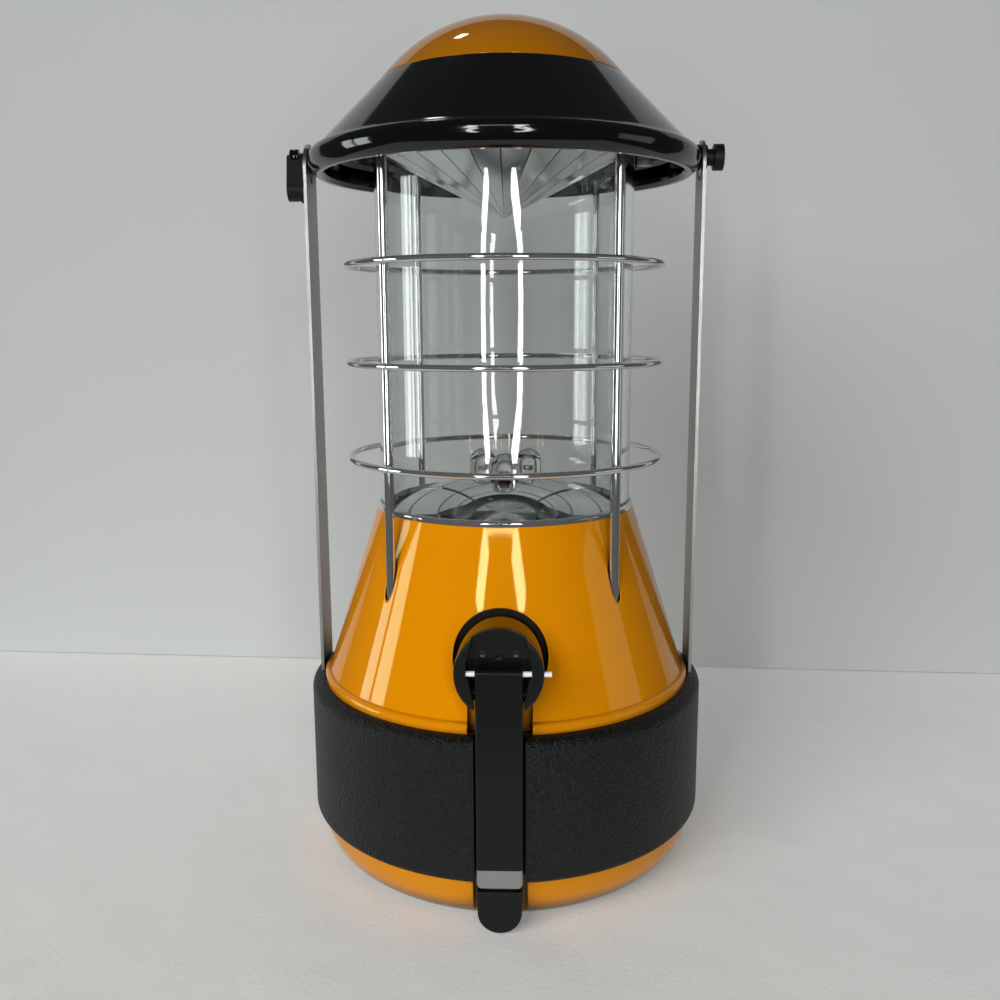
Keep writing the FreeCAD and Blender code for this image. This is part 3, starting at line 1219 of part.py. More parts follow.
def mesh_turn(teeth, towards, partner_teeth, partner_turn):
    """Turn of a gear whose tooth gap faces a tooth of its partner.

    towards is the direction in degrees from the partner to this gear.
    """
    phase = (towards - partner_turn) * partner_teeth / 360.0
    return towards + 180.0 + (0.5 + phase) * 360.0 / teeth


FIRST_ANGLE = -62.0
SECOND_ANGLE = 178.0
THIRD_ANGLE = 178.0
first_distance = (dims.drive_teeth + dims.first_pinion) * dims.gear_module / 2
second_distance = (dims.first_wheel + dims.second_pinion) * dims.gear_module / 2
third_distance = (dims.second_wheel + dims.rotor_pinion) * dims.fine_module / 2


def step_from(x, z, distance, angle):
    """The place at a distance and an angle from another place."""
    return (x + distance * math.cos(math.radians(angle)), z + distance * math.sin(math.radians(angle)))


first_x, first_z = step_from(Size(0.0, "0.0"), crank_height, first_distance, FIRST_ANGLE)
second_x, second_z = step_from(first_x, first_z, second_distance, SECOND_ANGLE)
rotor_x, rotor_z = step_from(second_x, second_z, third_distance, THIRD_ANGLE)
drive_back = drive_front - dims.drive_thick
first_back = drive_back - dims.wheel_step - dims.wheel_thick
second_back = first_back - dims.wheel_step - dims.wheel_thick


def y_gear(shape, x, y_front, z, name, label):
    """A gear shape turned to face the front, at its place."""
    flip = FreeCAD.Rotation(FreeCAD.Vector(1, 0, 0), 90)
    return part(solid_feature(name, shape, x, y_front, z, flip), label)


def compound_gear(wheel_teeth, wheel_module, pinion_teeth, pinion_module, pinion_length, pinion_turn):
    """A wheel with a pinion in front of it, one piece on a plain axle."""
    bore = (dims.axle_radius + dims.run_gap).number
    thick = dims.wheel_thick.number
    wheel = gear_solid(wheel_teeth, wheel_module, thick, bore)
    pinion = gear_solid(pinion_teeth, pinion_module, pinion_length, bore, pinion_turn)
    pinion.translate(FreeCAD.Vector(0, 0, thick))
    return wheel.fuse(pinion)


def make_gear_train():
    """Drive gear on the clutch, two compound gears and the rotor."""
    module, fine = dims.gear_module.number, dims.fine_module.number
    drive_n, first_p, first_w = dims.drive_teeth.number, dims.first_pinion.number, dims.first_wheel.number
    second_p, second_w = dims.second_pinion.number, dims.second_wheel.number
    rotor_p = dims.rotor_pinion.number
    overlap = dims.wheel_step.number * 2
    drive = gear_solid(drive_n, module, dims.drive_thick.number, (dims.clutch_radius + dims.run_gap).number)
    windows = []
    for _, cosine, sine in around(5, 90.0):
        window = Part.makeCylinder(dims.window_radius.number, dims.drive_thick.number)
        circle = dims.window_circle.number
        window.translate(FreeCAD.Vector(circle * cosine, circle * sine, 0))
        windows.append(window)
    drive = drive.cut(Part.makeCompound(windows))
    y_gear(drive, 0.0, -drive_back, crank_height, "drive_wheel", "drive_gear")
    first = compound_gear(first_w, module, first_p, module, dims.drive_thick.number + overlap,
                          mesh_turn(first_p, FIRST_ANGLE, drive_n, 0.0))
    y_gear(first, first_x, -first_back, first_z, "first_gear", "compound_gear_1")
    second = compound_gear(second_w, fine, second_p, module, dims.wheel_thick.number + overlap,
                           mesh_turn(second_p, SECOND_ANGLE, first_w, 0.0))
    y_gear(second, second_x, -second_back, second_z, "second_gear", "compound_gear_2")

    pinion = gear_solid(rotor_p, fine, dims.wheel_thick.number + overlap, 0.0,
                        mesh_turn(rotor_p, THIRD_ANGLE, second_w, 0.0))
    shaft_length = (second_back - can_front + dims.can_length - dims.can_wall / 2).number
    shaft = Part.makeCylinder(dims.rotor_shaft.number, shaft_length)
    shaft.translate(FreeCAD.Vector(0, 0, -shaft_length))
    magnet_length = (dims.can_length - dims.can_wall * 2 - dims.magnet_gap * 2).number
    magnet = Part.makeCylinder((dims.can_radius - dims.can_wall - dims.magnet_gap).number, magnet_length)
    magnet_back = (second_back - can_front + dims.can_wall + dims.magnet_gap).number + magnet_length
    magnet.translate(FreeCAD.Vector(0, 0, -magnet_back))
    y_gear(pinion.fuse([shaft, magnet]), rotor_x, -second_back, rotor_z, "rotor", "generator_rotor")


can_front = plates_back - dims.press_gap


def make_gear_case():
    """Two plates, four pillars, two axles and the generator can behind."""
    axis, half = crank_height, dims.plate_half
    right_side = [(half, plate_low), (half, axis - dims.plate_rise * 1.5),
                  (half * 0.91, axis - dims.plate_rise * 0.44),
                  (half * 0.55, axis + dims.plate_rise)]
    shape = right_side + [(-x, z) for x, z in reversed(right_side)]
    inset = dims.pillar_radius * 1.3
    pillar_places = [(side * (half - back), height) for side in (-1, 1)
                     for back, height in ((inset, plate_low + inset),
                                          (inset * 1.7, axis - dims.plate_rise * 0.57))]
    axle_places = ((first_x, first_z), (second_x, second_z))
    deep = dims.plate_thick * 3
    for name, front, label in (("front", plate_front, "gear_plate_front"),
                               ("rear", gears_back, "gear_plate_rear")):
        plate = padded("gear_plate_form_" + name, "XZ_Plane", shape, dims.plate_thick, 0.0,
                       -(front - dims.plate_thick), 0.0)
        near = -(front + dims.plate_thick)
        holes = [rod("axle_hole", dims.axle_radius + dims.press_gap, deep, x, near, z, "y") for x,
                 z in axle_places]
        holes.append(rod("shaft_hole", dims.shaft_radius + dims.run_gap, deep, 0.0, near, axis, "y"))
        if name == "rear":
            holes.append(rod("rotor_hole", dims.rotor_shaft * 2.6, deep, rotor_x, near, rotor_z, "y"))
        part(cut("gear_plate_cut_" + name, plate, *holes), label)
    slip = dims.press_gap
    pillars = [rod("pillar", dims.pillar_radius, dims.plate_space - slip * 2, x, -(gears_front - slip), z,
                   "y")
               for x, z in pillar_places]
    part(group("pillar_group", pillars), "gear_pillars")
    axles = [rod("gear_axle", dims.axle_radius, plate_front - plates_back, x, -plate_front, z, "y")
             for x, z in axle_places]
    part(group("axle_group", axles), "gear_axles")
    shell = rod("can_shell", dims.can_radius, dims.can_length, rotor_x, -can_front, rotor_z, "y")
    space = rod("can_space", dims.can_radius - dims.can_wall, dims.can_length - dims.can_wall * 2, rotor_x,
                -(can_front - dims.can_wall), rotor_z, "y")
    bore = rod("can_bore", dims.rotor_shaft + dims.run_gap, dims.can_length + dims.can_wall, rotor_x,
               -(can_front + dims.can_wall), rotor_z, "y")
    part(cut("can_cut", shell, space, bore), "generator_can")


# Electrics

def make_electrics():
    """Battery holder and cells, circuit board, switch and its button."""
    room = dims.cell_radius + dims.seat_gap
    cell_height = holder_low + dims.seat_gap * 4 + dims.cell_radius
    tray = block("holder_tray", battery_length, battery_width, holder_top - holder_low, 0.0, battery_front,
                 holder_low)
    troughs, cells = [], []
    for index in (-1, 0, 1):
        y = dims.battery_place + dims.cell_pitch * index
        length = dims.cell_length + dims.seat_gap * 4
        troughs.append(rod("cell_trough", room, length, -length / 2, y, cell_height, "x"))
        troughs.append(block("cell_mouth", length, room * 2, cell_height - holder_low + dims.liner_wall,
                             0.0, y - room, holder_low - dims.liner_wall))
        can = rod("cell_can", dims.cell_radius, dims.cell_length - dims.cell_tip / 2,
                  -dims.cell_length / 2, y,
                  cell_height, "x")
        tip = rod("cell_tip", dims.cell_tip, dims.cell_length, -dims.cell_length / 2, y, cell_height, "x")
        cells.append(fuse("cell", can, tip))
    part(cut("holder_cut", tray, *troughs), "battery_holder")
    part(group("cell_group", cells), "battery_cells")

    part(block("main_board", dims.board_width, dims.board_thick - dims.press_gap, board_high - board_low,
               0.0,
               board_place, board_low), "circuit_board")
    z, half = button_height, dims.switch_size / 2
    case = block("switch_case", dims.switch_size, dims.switch_depth, dims.switch_size, 0.0, board_back,
                 z - half)
    stem_start = board_back + dims.switch_depth - dims.button_travel * 1.2
    well_start = stem_start - dims.button_travel - dims.face_gap
    well = rod("switch_well", dims.button_stem + dims.run_gap, dims.switch_depth, 0.0, well_start, z, "y")
    part(cut("switch_cut", case, well), "switch_body")
    cap_start = board_back + dims.switch_depth + dims.button_room
    stem = rod("button_stem", dims.button_stem, cap_start + dims.seat_gap - stem_start, 0.0, stem_start, z,
               "y")
    cap = rod("button_cap", dims.button_radius, button_face - cap_start, 0.0, cap_start, z, "y")
    part(fuse("button_form", stem, cap), "power_button")


make_base_tub()
make_battery_door()
make_plugs()
make_housing_screws()
make_grip()
make_body_cone()
make_globe()
make_lower_mirror()
make_lamps()
make_guard()
make_cap()
make_upper_mirror()
make_stays()
make_stud_knobs()
make_crank_hub()
make_crank_arm()
make_crank_shaft()
make_gear_train()
make_gear_case()
make_electrics()

doc.recompute()

failed = [obj.Name for obj in doc.Objects if "Invalid" in obj.State or "Error" in obj.State]
if failed:
    raise RuntimeError("failed features: " + ", ".join(failed))
for obj in PARTS:
    if obj.Shape.isNull() or not obj.Shape.isValid() or not obj.Shape.Solids:
        raise RuntimeError("bad shape: " + obj.Label)

os.makedirs("parts", exist_ok=True)
for obj in PARTS:
    obj.Shape.exportStep(os.path.join("parts", obj.Label + ".step"))
    box = obj.Shape.BoundBox
    print("%-18s solids %d volume %9.1f  x %.1f..%.1f y %.1f..%.1f z %.1f..%.1f" % (
        obj.Label, len(obj.Shape.Solids), obj.Shape.Volume, box.XMin, box.XMax, box.YMin, box.YMax,
        box.ZMin, box.ZMax))
print(len(PARTS), "pieces written")
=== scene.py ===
# %% [markdown]
# # A hand crank lantern, dressed for its portrait
# The lantern is already built to size as solids: a yellow tub and cone, a black cap, a clear globe in a
# wire guard, and a folding crank. This lesson gives each part the finish that the real one has, and
# models the fine pieces that the solids leave out. Every length is in metres, in the frame of the solids:
# Z is up and the crank is at the front, towards -Y.

# %% Load the solids
import json
import math

import bmesh
import bpy
from mathutils import Matrix, Vector


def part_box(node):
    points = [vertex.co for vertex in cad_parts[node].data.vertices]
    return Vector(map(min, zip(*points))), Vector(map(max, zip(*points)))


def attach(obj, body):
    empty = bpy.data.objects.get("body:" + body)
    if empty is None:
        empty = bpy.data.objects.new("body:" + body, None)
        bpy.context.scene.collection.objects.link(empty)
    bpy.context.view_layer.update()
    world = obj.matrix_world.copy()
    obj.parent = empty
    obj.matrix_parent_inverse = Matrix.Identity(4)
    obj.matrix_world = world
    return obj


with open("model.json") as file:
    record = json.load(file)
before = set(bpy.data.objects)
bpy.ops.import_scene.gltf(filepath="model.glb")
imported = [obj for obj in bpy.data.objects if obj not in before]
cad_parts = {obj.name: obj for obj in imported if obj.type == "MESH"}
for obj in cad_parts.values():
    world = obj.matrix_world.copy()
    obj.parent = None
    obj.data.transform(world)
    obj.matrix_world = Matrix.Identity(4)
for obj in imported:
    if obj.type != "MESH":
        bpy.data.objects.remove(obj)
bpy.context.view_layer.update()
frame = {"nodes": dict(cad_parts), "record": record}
nodes = frame["nodes"]
MM = 0.001

# %% [markdown]
# ## Camera
# The photograph was taken with a short lens close to the lantern, a little above its middle. So the cap
# is seen from below and the base from above, in one picture. The camera's place was solved from the
# ellipses of the rims, and is given here as a distance, a height and four small angles.

# %% Set up the camera
DISTANCE = 340 * MM
HEIGHT = 179 * MM
YAW = math.radians(1.7)
PAN = math.radians(0.3)
PITCH = math.radians(10.18)
ROLL = math.radians(-0.267)
# both in millimetres, the unit of the camera's own settings
LENS = 36.4
FRAME_WIDE = 36.0

camera = bpy.data.objects.new("camera", bpy.data.cameras.new("camera"))
bpy.context.scene.collection.objects.link(camera)
camera.data.lens = LENS
camera.data.sensor_width = FRAME_WIDE
camera.data.clip_start = 10 * MM
stand = Matrix.Translation((DISTANCE * math.sin(YAW), -DISTANCE * math.cos(YAW), HEIGHT))
heading = Matrix.Rotation(YAW + PAN, 4, "Z")
tilt = Matrix.Rotation(math.pi / 2 - PITCH, 4, "X")
camera.matrix_world = stand @ heading @ tilt @ Matrix.Rotation(ROLL, 4, "Z")
bpy.context.scene.camera = camera
print("camera at", [round(value, 3) for value in camera.location])

# %% [markdown]
# The default view of Blender rolls bright colours off towards white, as film does. A phone keeps a strong
# orange strong, so the plain view is used here.

# %% Plain colours
bpy.context.scene.view_settings.view_transform = "Standard"
print("view:", bpy.context.scene.view_settings.view_transform)

# %% [markdown]
# ## Helpers for materials
# Colours are noted as the eye reads them, in sRGB hex, and one function turns them into the linear values
# that the renderer needs. Another adds a node, sets its sockets and links it. Patterns are laid out on
# Object coordinates, so their scale is one over a real size.

# %% Material helpers

def linear(code):
    """Linear RGBA from an sRGB hex colour."""
    channels = [int(code[place:place + 2], 16) / 255 for place in (1, 3, 5)]
    lit = [c / 12.92 if c <= 0.04045 else ((c + 0.055) / 1.055) ** 2.4 for c in channels]
    return (*lit, 1.0)


def add_node(tree, kind, links=None, **settings):
    """Add a node; settings fill its properties or its sockets, links feed sockets from other nodes."""
    node = tree.nodes.new(kind)
    for name, value in settings.items():
        if hasattr(node, name):
            setattr(node, name, value)
        else:
            node.inputs[name.replace("_", " ")].default_value = value
    for socket, source in (links or {}).items():
        tree.links.new(source, node.inputs[socket])
    return node


def new_material(name, **sockets):
    """A material with a Principled shader whose sockets are set, its tree and its Object coordinates."""
    material = bpy.data.materials.new(name)
    material.use_nodes = True
    tree = material.node_tree
    shader = tree.nodes["Principled BSDF"]
    for socket, value in sockets.items():
        shader.inputs[socket.replace("_", " ")].default_value = value
    where = tree.nodes.new("ShaderNodeTexCoord").outputs["Object"]
    return material, tree, shader, where


def per(size):
    """Texture scale for a pattern of that real size."""
    return 1.0 / size


# %% [markdown]
# The solids come as flat facets. Their blended normals would make long reflections ragged, so on the cone
# and the globe the normal is worked out from the place of each point. It is used only where it nearly
# agrees with the mesh's own, and fades in between two values of their dot product.

# %% Exact normals of round parts
NOT_ROUND = 0.985
SURELY_ROUND = 0.995


def round_normal(tree, where, normal, rise):
    """The exact normal of a cone round the lantern's axis, of that rise, where the mesh is part of it."""
    parts = add_node(tree, "ShaderNodeSeparateXYZ", {"Vector": where})
    level = add_node(tree, "ShaderNodeCombineXYZ", {"X": parts.outputs["X"], "Y": parts.outputs["Y"]})
    reach = add_node(tree, "ShaderNodeVectorMath", {0: level.outputs[0]}, operation="LENGTH")
    lift = add_node(tree, "ShaderNodeMath", {0: reach.outputs["Value"]}, operation="MULTIPLY")
    lift.inputs[1].default_value = rise
    aim = add_node(tree, "ShaderNodeCombineXYZ", {"X": parts.outputs["X"], "Y": parts.outputs["Y"],
                                                  "Z": lift.outputs[0]})
    exact = add_node(tree, "ShaderNodeVectorMath", {0: aim.outputs[0]}, operation="NORMALIZE")
    match = add_node(tree, "ShaderNodeVectorMath", {0: exact.outputs[0], 1: normal}, operation="DOT_PRODUCT")
    side = add_node(tree, "ShaderNodeMath", {0: match.outputs["Value"]}, operation="SIGN")
    facing = add_node(tree, "ShaderNodeVectorMath", {0: exact.outputs[0], "Scale": side.outputs[0]},
                      operation="SCALE")
    close = add_node(tree, "ShaderNodeMath", {0: match.outputs["Value"]}, operation="ABSOLUTE")
    part_of = add_node(tree, "ShaderNodeMapRange", {"Value": close.outputs[0]}, From_Min=NOT_ROUND,
                       From_Max=SURELY_ROUND)
    pick = add_node(tree, "ShaderNodeMix", {"Factor": part_of.outputs[0], "A": normal,
                                            "B": facing.outputs[0]}, data_type="VECTOR")
    return pick.outputs["Result"]


# %% [markdown]
# ## Orange yellow ABS
# The tub, cone and dome are injection moulded ABS from a polished mould, so they are smooth and glossy,
# with the faintest waviness where the plastic shrank. The edges of a moulding are never sharp, and a
# Bevel node rounds them for the light only. In a recess the yellow is painted brown, as painted shade,
# because light reaches it only off other yellow faces.

# %% Sizes of the yellow mouldings
EDGE_ROUND = 0.7 * MM
RECESS = 11 * MM
SHRINK_WAVE = 9 * MM
CONE_RISE = 0.3176
HUB_HEIGHT = 80.2 * MM
POCKET_RADIUS = 14.1 * MM
POCKET_EDGE = 0.5 * MM
POCKET_BACK = -30 * MM
print("cone leans in by", round(math.degrees(math.atan(CONE_RISE)), 1), "degrees")

# %% [markdown]
# The yellow is painted brownest on the boss in the round pocket, where the crank hub turns, as painted
# shade: the black hub shades it all round, more than the recess alone would. So a mask finds what lies
# inside the pocket's radius, on the front.

# %% Mask of the painted shade in the crank pocket

def crank_pocket_shade_mask(tree, where):
    """Where the hub's painted shade goes: 1 inside the round pocket of the crank hub, 0 elsewhere."""
    from_hub = add_node(tree, "ShaderNodeVectorMath", {0: where}, operation="SUBTRACT")
    from_hub.inputs[1].default_value = (0, 0, HUB_HEIGHT)
    front_on = add_node(tree, "ShaderNodeVectorMath", {0: from_hub.outputs[0]}, operation="MULTIPLY")
    front_on.inputs[1].default_value = (1, 0, 1)
    reach = add_node(tree, "ShaderNodeVectorMath", {0: front_on.outputs[0]}, operation="LENGTH")
    boss = add_node(tree, "ShaderNodeMapRange", {"Value": reach.outputs["Value"]}, From_Min=POCKET_RADIUS,
                    From_Max=POCKET_RADIUS - POCKET_EDGE)
    parts = add_node(tree, "ShaderNodeSeparateXYZ", {"Vector": where})
    in_front = add_node(tree, "ShaderNodeMath", {0: parts.outputs["Y"]}, operation="LESS_THAN")
    in_front.inputs[1].default_value = POCKET_BACK
    shadow = add_node(tree, "ShaderNodeMath", {0: boss.outputs[0], 1: in_front.outputs[0]},
                      operation="MULTIPLY")
    return shadow.outputs[0]


# %% [markdown]
# The tub is painted a little duller than the cone, as shade on its skirt below the grip, and the dome is a
# deeper yellow. Their gloss has a faint yellow tint, which keeps pale reflections on the orange from
# looking pink.

# %% Yellow plastic

def make_yellow(name, color):
    """Glossy moulded ABS with slight waviness, rounded-looking edges and painted shade in its recesses."""
    material, tree, shader, where = new_material(
        name, Roughness=0.045, IOR=1.5, Specular_Tint=linear("#F8FFB4"))
    edge = add_node(tree, "ShaderNodeBevel", samples=6, Radius=EDGE_ROUND)
    # painted shade: where ambient occlusion finds a recess, the yellow is darkened to brown
    open_sky = add_node(tree, "ShaderNodeAmbientOcclusion", samples=8, Distance=RECESS)
    depth = add_node(tree, "ShaderNodeMapRange", {"Value": open_sky.outputs["AO"]}, From_Min=0.2,
                     From_Max=0.75)
    shade = add_node(tree, "ShaderNodeMix", {"Factor": depth.outputs[0]}, data_type="RGBA")
    shade.inputs["A"].default_value = linear("#3A1A00")
    shade.inputs["B"].default_value = linear(color)
    yellow_with_pocket_shade = add_node(tree, "ShaderNodeMix", {"Factor": crank_pocket_shade_mask(tree, where),
                                              "A": shade.outputs["Result"]}, data_type="RGBA")
    # painted shade of the black hub, laid on the boss inside the pocket
    yellow_with_pocket_shade.inputs["B"].default_value = linear("#33230A")
    tree.links.new(yellow_with_pocket_shade.outputs["Result"], shader.inputs["Base Color"])
    waves = add_node(tree, "ShaderNodeTexNoise", {"Vector": where}, Scale=per(SHRINK_WAVE), Detail=2.0)
    flank = round_normal(tree, where, edge.outputs[0], CONE_RISE)
    bump = add_node(tree, "ShaderNodeBump", {"Height": waves.outputs["Fac"], "Normal": flank},
                    Strength=0.01, Distance=0.2 * MM)
    tree.links.new(bump.outputs[0], shader.inputs["Normal"])
    return material


cone_yellow = make_yellow("yellow_abs_polished", "#EC9300")
# painted shade: the tub's duller yellow stands for the shade on its skirt below the grip
tub_yellow = make_yellow("yellow_abs_tub", "#D88600")
dome_yellow = make_yellow("yellow_abs_dome", "#AE6B00")
print("yellow:", cone_yellow.name, tub_yellow.name, dome_yellow.name)

# %% [markdown]
# ## Black ABS
# The cap is black ABS from the same kind of polished mould, so it mirrors the room like dark glass.
# Handling leaves faint smears, which only change how sharp the mirror is, so they drive the roughness and
# no colour.

# %% Black gloss
SMEAR = 6 * MM

def make_black_gloss():
    """Polished black ABS with faint smears."""
    material, tree, shader, where = new_material(
        "black_abs_polished", Base_Color=linear("#070908"), IOR=1.53)
    edge = add_node(tree, "ShaderNodeBevel", samples=6, Radius=0.3 * MM)
    smears = add_node(tree, "ShaderNodeTexNoise", {"Vector": where}, Scale=per(SMEAR), Detail=6.0)
    spread = add_node(tree, "ShaderNodeMapRange", {"Value": smears.outputs["Fac"]},
                      To_Min=0.05, To_Max=0.11)
    tree.links.new(spread.outputs[0], shader.inputs["Roughness"])
    tree.links.new(edge.outputs[0], shader.inputs["Normal"])
    return material


# %% [markdown]
# ## Black nylon
# Hub, arm and knobs of the crank are black nylon from a spark-eroded mould. Its fine grain breaks
# reflections up into a soft satin sheen. The real grain is about 0.2 mm and is drawn twice as coarse, or
# it wouldn't show.

# %% Black nylon
SPARK_GRAIN = 0.4 * MM


def make_black_nylon(name, color, roughness, sheen):
    """Satin black nylon with the grain of a spark-eroded mould."""
    material, tree, shader, where = new_material(
        name, Base_Color=linear(color), Roughness=roughness, Specular_IOR_Level=sheen)
    edge = add_node(tree, "ShaderNodeBevel", samples=6, Radius=0.4 * MM)
    grain = add_node(tree, "ShaderNodeTexNoise", {"Vector": where}, Scale=per(SPARK_GRAIN), Detail=3.0)
    bump = add_node(tree, "ShaderNodeBump", {"Height": grain.outputs["Fac"], "Normal": edge.outputs[0]},
                    Strength=0.10, Distance=0.05 * MM)
    tree.links.new(bump.outputs[0], shader.inputs["Normal"])
    return material


# %% [markdown]
# ## Grip rubber
# The sleeve is moulded rubber with a leathery grain: round pebbles about a millimetre wide with creases
# between them, and a finer roughness on top. That makes it read as soft and dry beside the gloss. Voronoi
# cells give the pebbles, bent a little by noise so they don't look laid out. Two bumps are stacked, the
# coarse one first. The pebbles are paler in their middles and darker towards the creases.

# %% Grip rubber
PEBBLE = 1.05 * MM
PEBBLE_TALL = 0.38 * MM
PEBBLE_BEND = 3 * MM
PEBBLE_SHIFT = 2.2 * MM
RUBBER_GRAIN = 0.7 * MM


def make_grip_rubber():
    """Moulded rubber with a leathery grain."""
    material, tree, shader, where = new_material(
        "rubber_leather_grain", Roughness=0.5, Specular_IOR_Level=0.33)
    warp = add_node(tree, "ShaderNodeTexNoise", {"Vector": where}, Scale=per(PEBBLE_BEND), Detail=2.0)
    moved = add_node(tree, "ShaderNodeVectorMath", {0: warp.outputs["Color"]}, operation="SCALE",
                     Scale=PEBBLE_SHIFT)
    place = add_node(tree, "ShaderNodeVectorMath", {0: where, 1: moved.outputs[0]}, operation="ADD")
    cells = add_node(tree, "ShaderNodeTexVoronoi", {"Vector": place.outputs[0]}, feature="F1",
                     Scale=per(PEBBLE))
    fine = add_node(tree, "ShaderNodeTexNoise", {"Vector": where}, Scale=per(RUBBER_GRAIN), Detail=3.0)
    low = add_node(tree, "ShaderNodeBump", {"Height": cells.outputs["Distance"]}, invert=True,
                   Strength=1.0, Distance=PEBBLE_TALL)
    high = add_node(tree, "ShaderNodeBump", {"Height": fine.outputs["Fac"], "Normal": low.outputs[0]},
                    Strength=0.8, Distance=0.25 * MM)
    # paler in the pebbles' middles, darker towards the creases between them
    pebble_middle = add_node(tree, "ShaderNodeMapRange", {"Value": cells.outputs["Distance"]}, From_Max=0.7,
                    To_Min=1.0, To_Max=0.0)
    tint = add_node(tree, "ShaderNodeMix", {"Factor": pebble_middle.outputs[0]}, data_type="RGBA")
    tint.inputs["A"].default_value = linear("#07090A")
    tint.inputs["B"].default_value = linear("#111516")
    tree.links.new(tint.outputs["Result"], shader.inputs["Base Color"])
    tree.links.new(high.outputs[0], shader.inputs["Normal"])
    return material


# %% [markdown]
# Seals and plugs are cut from plain black rubber sheet, which swallows nearly all light. Its grain of a
# few hundredths of a millimetre is drawn much coarser, so that a little of it shows.

# %% Seal rubber
SEAL_GRAIN = 0.6 * MM


def make_seal_rubber():
    """Plain black rubber, matt and a little dusty."""
    material, tree, shader, where = new_material(
        "rubber_seal", Base_Color=linear("#161616"), Roughness=0.75)
    fine = add_node(tree, "ShaderNodeTexNoise", {"Vector": where}, Scale=per(SEAL_GRAIN), Detail=3.0)
    bump = add_node(tree, "ShaderNodeBump", {"Height": fine.outputs["Fac"]}, Strength=0.2, Distance=0.05 * MM)
    tree.links.new(bump.outputs[0], shader.inputs["Normal"])
    return material


# %% [markdown]
# ## Metals
# Chrome plate shows the room as thin bright and dark lines. Satin stainless strip smears it along its
# length. Zinc plate looks a dull white, the nickel hinge pin is painted near white as a highlight, and
# silver lacquer is evenly grey. They differ in colour, in how rough they are and in the way their grain
# runs, so one function makes them all. Its noise is stretched along the way that the metal was drawn or
# rolled. The real scratches are finer than a tenth of a millimetre, and are drawn about three times as
# wide to show at all.

# %% Metals
FINE_GRAIN = (0.3, 0.3, 0.3)
ROLLED_GRAIN = (0.3, 0.3, 12.0)

def make_metal(name, color, roughness, grain=FINE_GRAIN, strength=0.05, bare=1.0):
    """A metal whose fine grain, in millimetres each way, is stretched as it was worked.

    A dull plate is part bare metal, part white oxide; on the hinge pin the white part is a painted highlight."""
    material, tree, shader, where = new_material(
        name, Base_Color=linear(color), Metallic=bare)
    stretch = add_node(tree, "ShaderNodeMapping", {"Vector": where})
    stretch.inputs["Scale"].default_value = [per(size * MM) for size in grain]
    lines = add_node(tree, "ShaderNodeTexNoise", {"Vector": stretch.outputs[0]}, Scale=1.0, Detail=3.0)
    spread = add_node(tree, "ShaderNodeMapRange", {"Value": lines.outputs["Fac"]},
                      To_Min=roughness * 0.7, To_Max=roughness * 1.4)
    bump = add_node(tree, "ShaderNodeBump", {"Height": lines.outputs["Fac"]}, Strength=strength,
                    Distance=0.02 * MM)
    tree.links.new(spread.outputs[0], shader.inputs["Roughness"])
    tree.links.new(bump.outputs[0], shader.inputs["Normal"])
    return material


# %% [markdown]
# ## Metallised mirrors
# Both reflectors are plastic with a vacuum coat of aluminium. The upper one is pressed with a crease
# every 15 degrees, and a thin dark line of painted shade is drawn along each. The angle round the axis,
# counted in creases, tells how far a point is from the nearest one. The lower one is a dome that mirrors
# the cap. It is a little rounder than the solid, which a Bump adds to the way it mirrors.

# %% Mirrors
CREASES = 24
CREASE_SHARE = 0.022
DOME_CURVE = 78 * MM
SEEN_CURVE = 59 * MM
HAZE = 7 * MM


def make_mirror(name, creased, haziness, bare=1.0):
    """Vacuum coated plastic; if it is creased, lines of painted shade run along the creases to the tip."""
    material, tree, shader, where = new_material(
        name, Base_Color=linear("#D6D9DA"), Metallic=bare)
    haze = add_node(tree, "ShaderNodeTexNoise", {"Vector": where}, Scale=per(HAZE), Detail=3.0)
    spread = add_node(tree, "ShaderNodeMapRange", {"Value": haze.outputs["Fac"]},
                      To_Min=haziness * 0.7, To_Max=haziness * 1.3)
    tree.links.new(spread.outputs[0], shader.inputs["Roughness"])
    parts = add_node(tree, "ShaderNodeSeparateXYZ", {"Vector": where})
    if not creased:
        level = add_node(tree, "ShaderNodeCombineXYZ", {"X": parts.outputs["X"], "Y": parts.outputs["Y"]})
        square = add_node(tree, "ShaderNodeVectorMath", {0: level.outputs[0], 1: level.outputs[0]},
                          operation="DOT_PRODUCT")
        rise = add_node(tree, "ShaderNodeMath", {0: square.outputs["Value"]}, operation="MULTIPLY")
        rise.inputs[1].default_value = (1 / DOME_CURVE - 1 / SEEN_CURVE) / 2
        rounder = add_node(tree, "ShaderNodeBump", {"Height": rise.outputs[0]}, Strength=1.0, Distance=1.0)
        tree.links.new(rounder.outputs[0], shader.inputs["Normal"])
        return material
    angle = add_node(tree, "ShaderNodeMath", {0: parts.outputs["Y"], 1: parts.outputs["X"]},
                     operation="ARCTAN2")
    count = add_node(tree, "ShaderNodeMath", {0: angle.outputs[0]}, operation="MULTIPLY")
    count.inputs[1].default_value = CREASES / math.tau
    nearest = add_node(tree, "ShaderNodeMath", {0: count.outputs[0]}, operation="ROUND")
    apart = add_node(tree, "ShaderNodeMath", {0: count.outputs[0], 1: nearest.outputs[0]},
                     operation="SUBTRACT")
    away = add_node(tree, "ShaderNodeMath", {0: apart.outputs[0]}, operation="ABSOLUTE")
    crease = add_node(tree, "ShaderNodeMapRange", {"Value": away.outputs[0]},
                      From_Min=CREASE_SHARE * 0.5, From_Max=CREASE_SHARE * 1.5)
    coat_and_crease_shade = add_node(tree, "ShaderNodeMix", {"Factor": crease.outputs[0]}, data_type="RGBA")
    # painted shade along each crease; the pale colour is the coat's own
    coat_and_crease_shade.inputs["A"].default_value = linear("#2E3131")
    coat_and_crease_shade.inputs["B"].default_value = linear("#F0F2F2")
    tree.links.new(coat_and_crease_shade.outputs["Result"], shader.inputs["Base Color"])
    return material
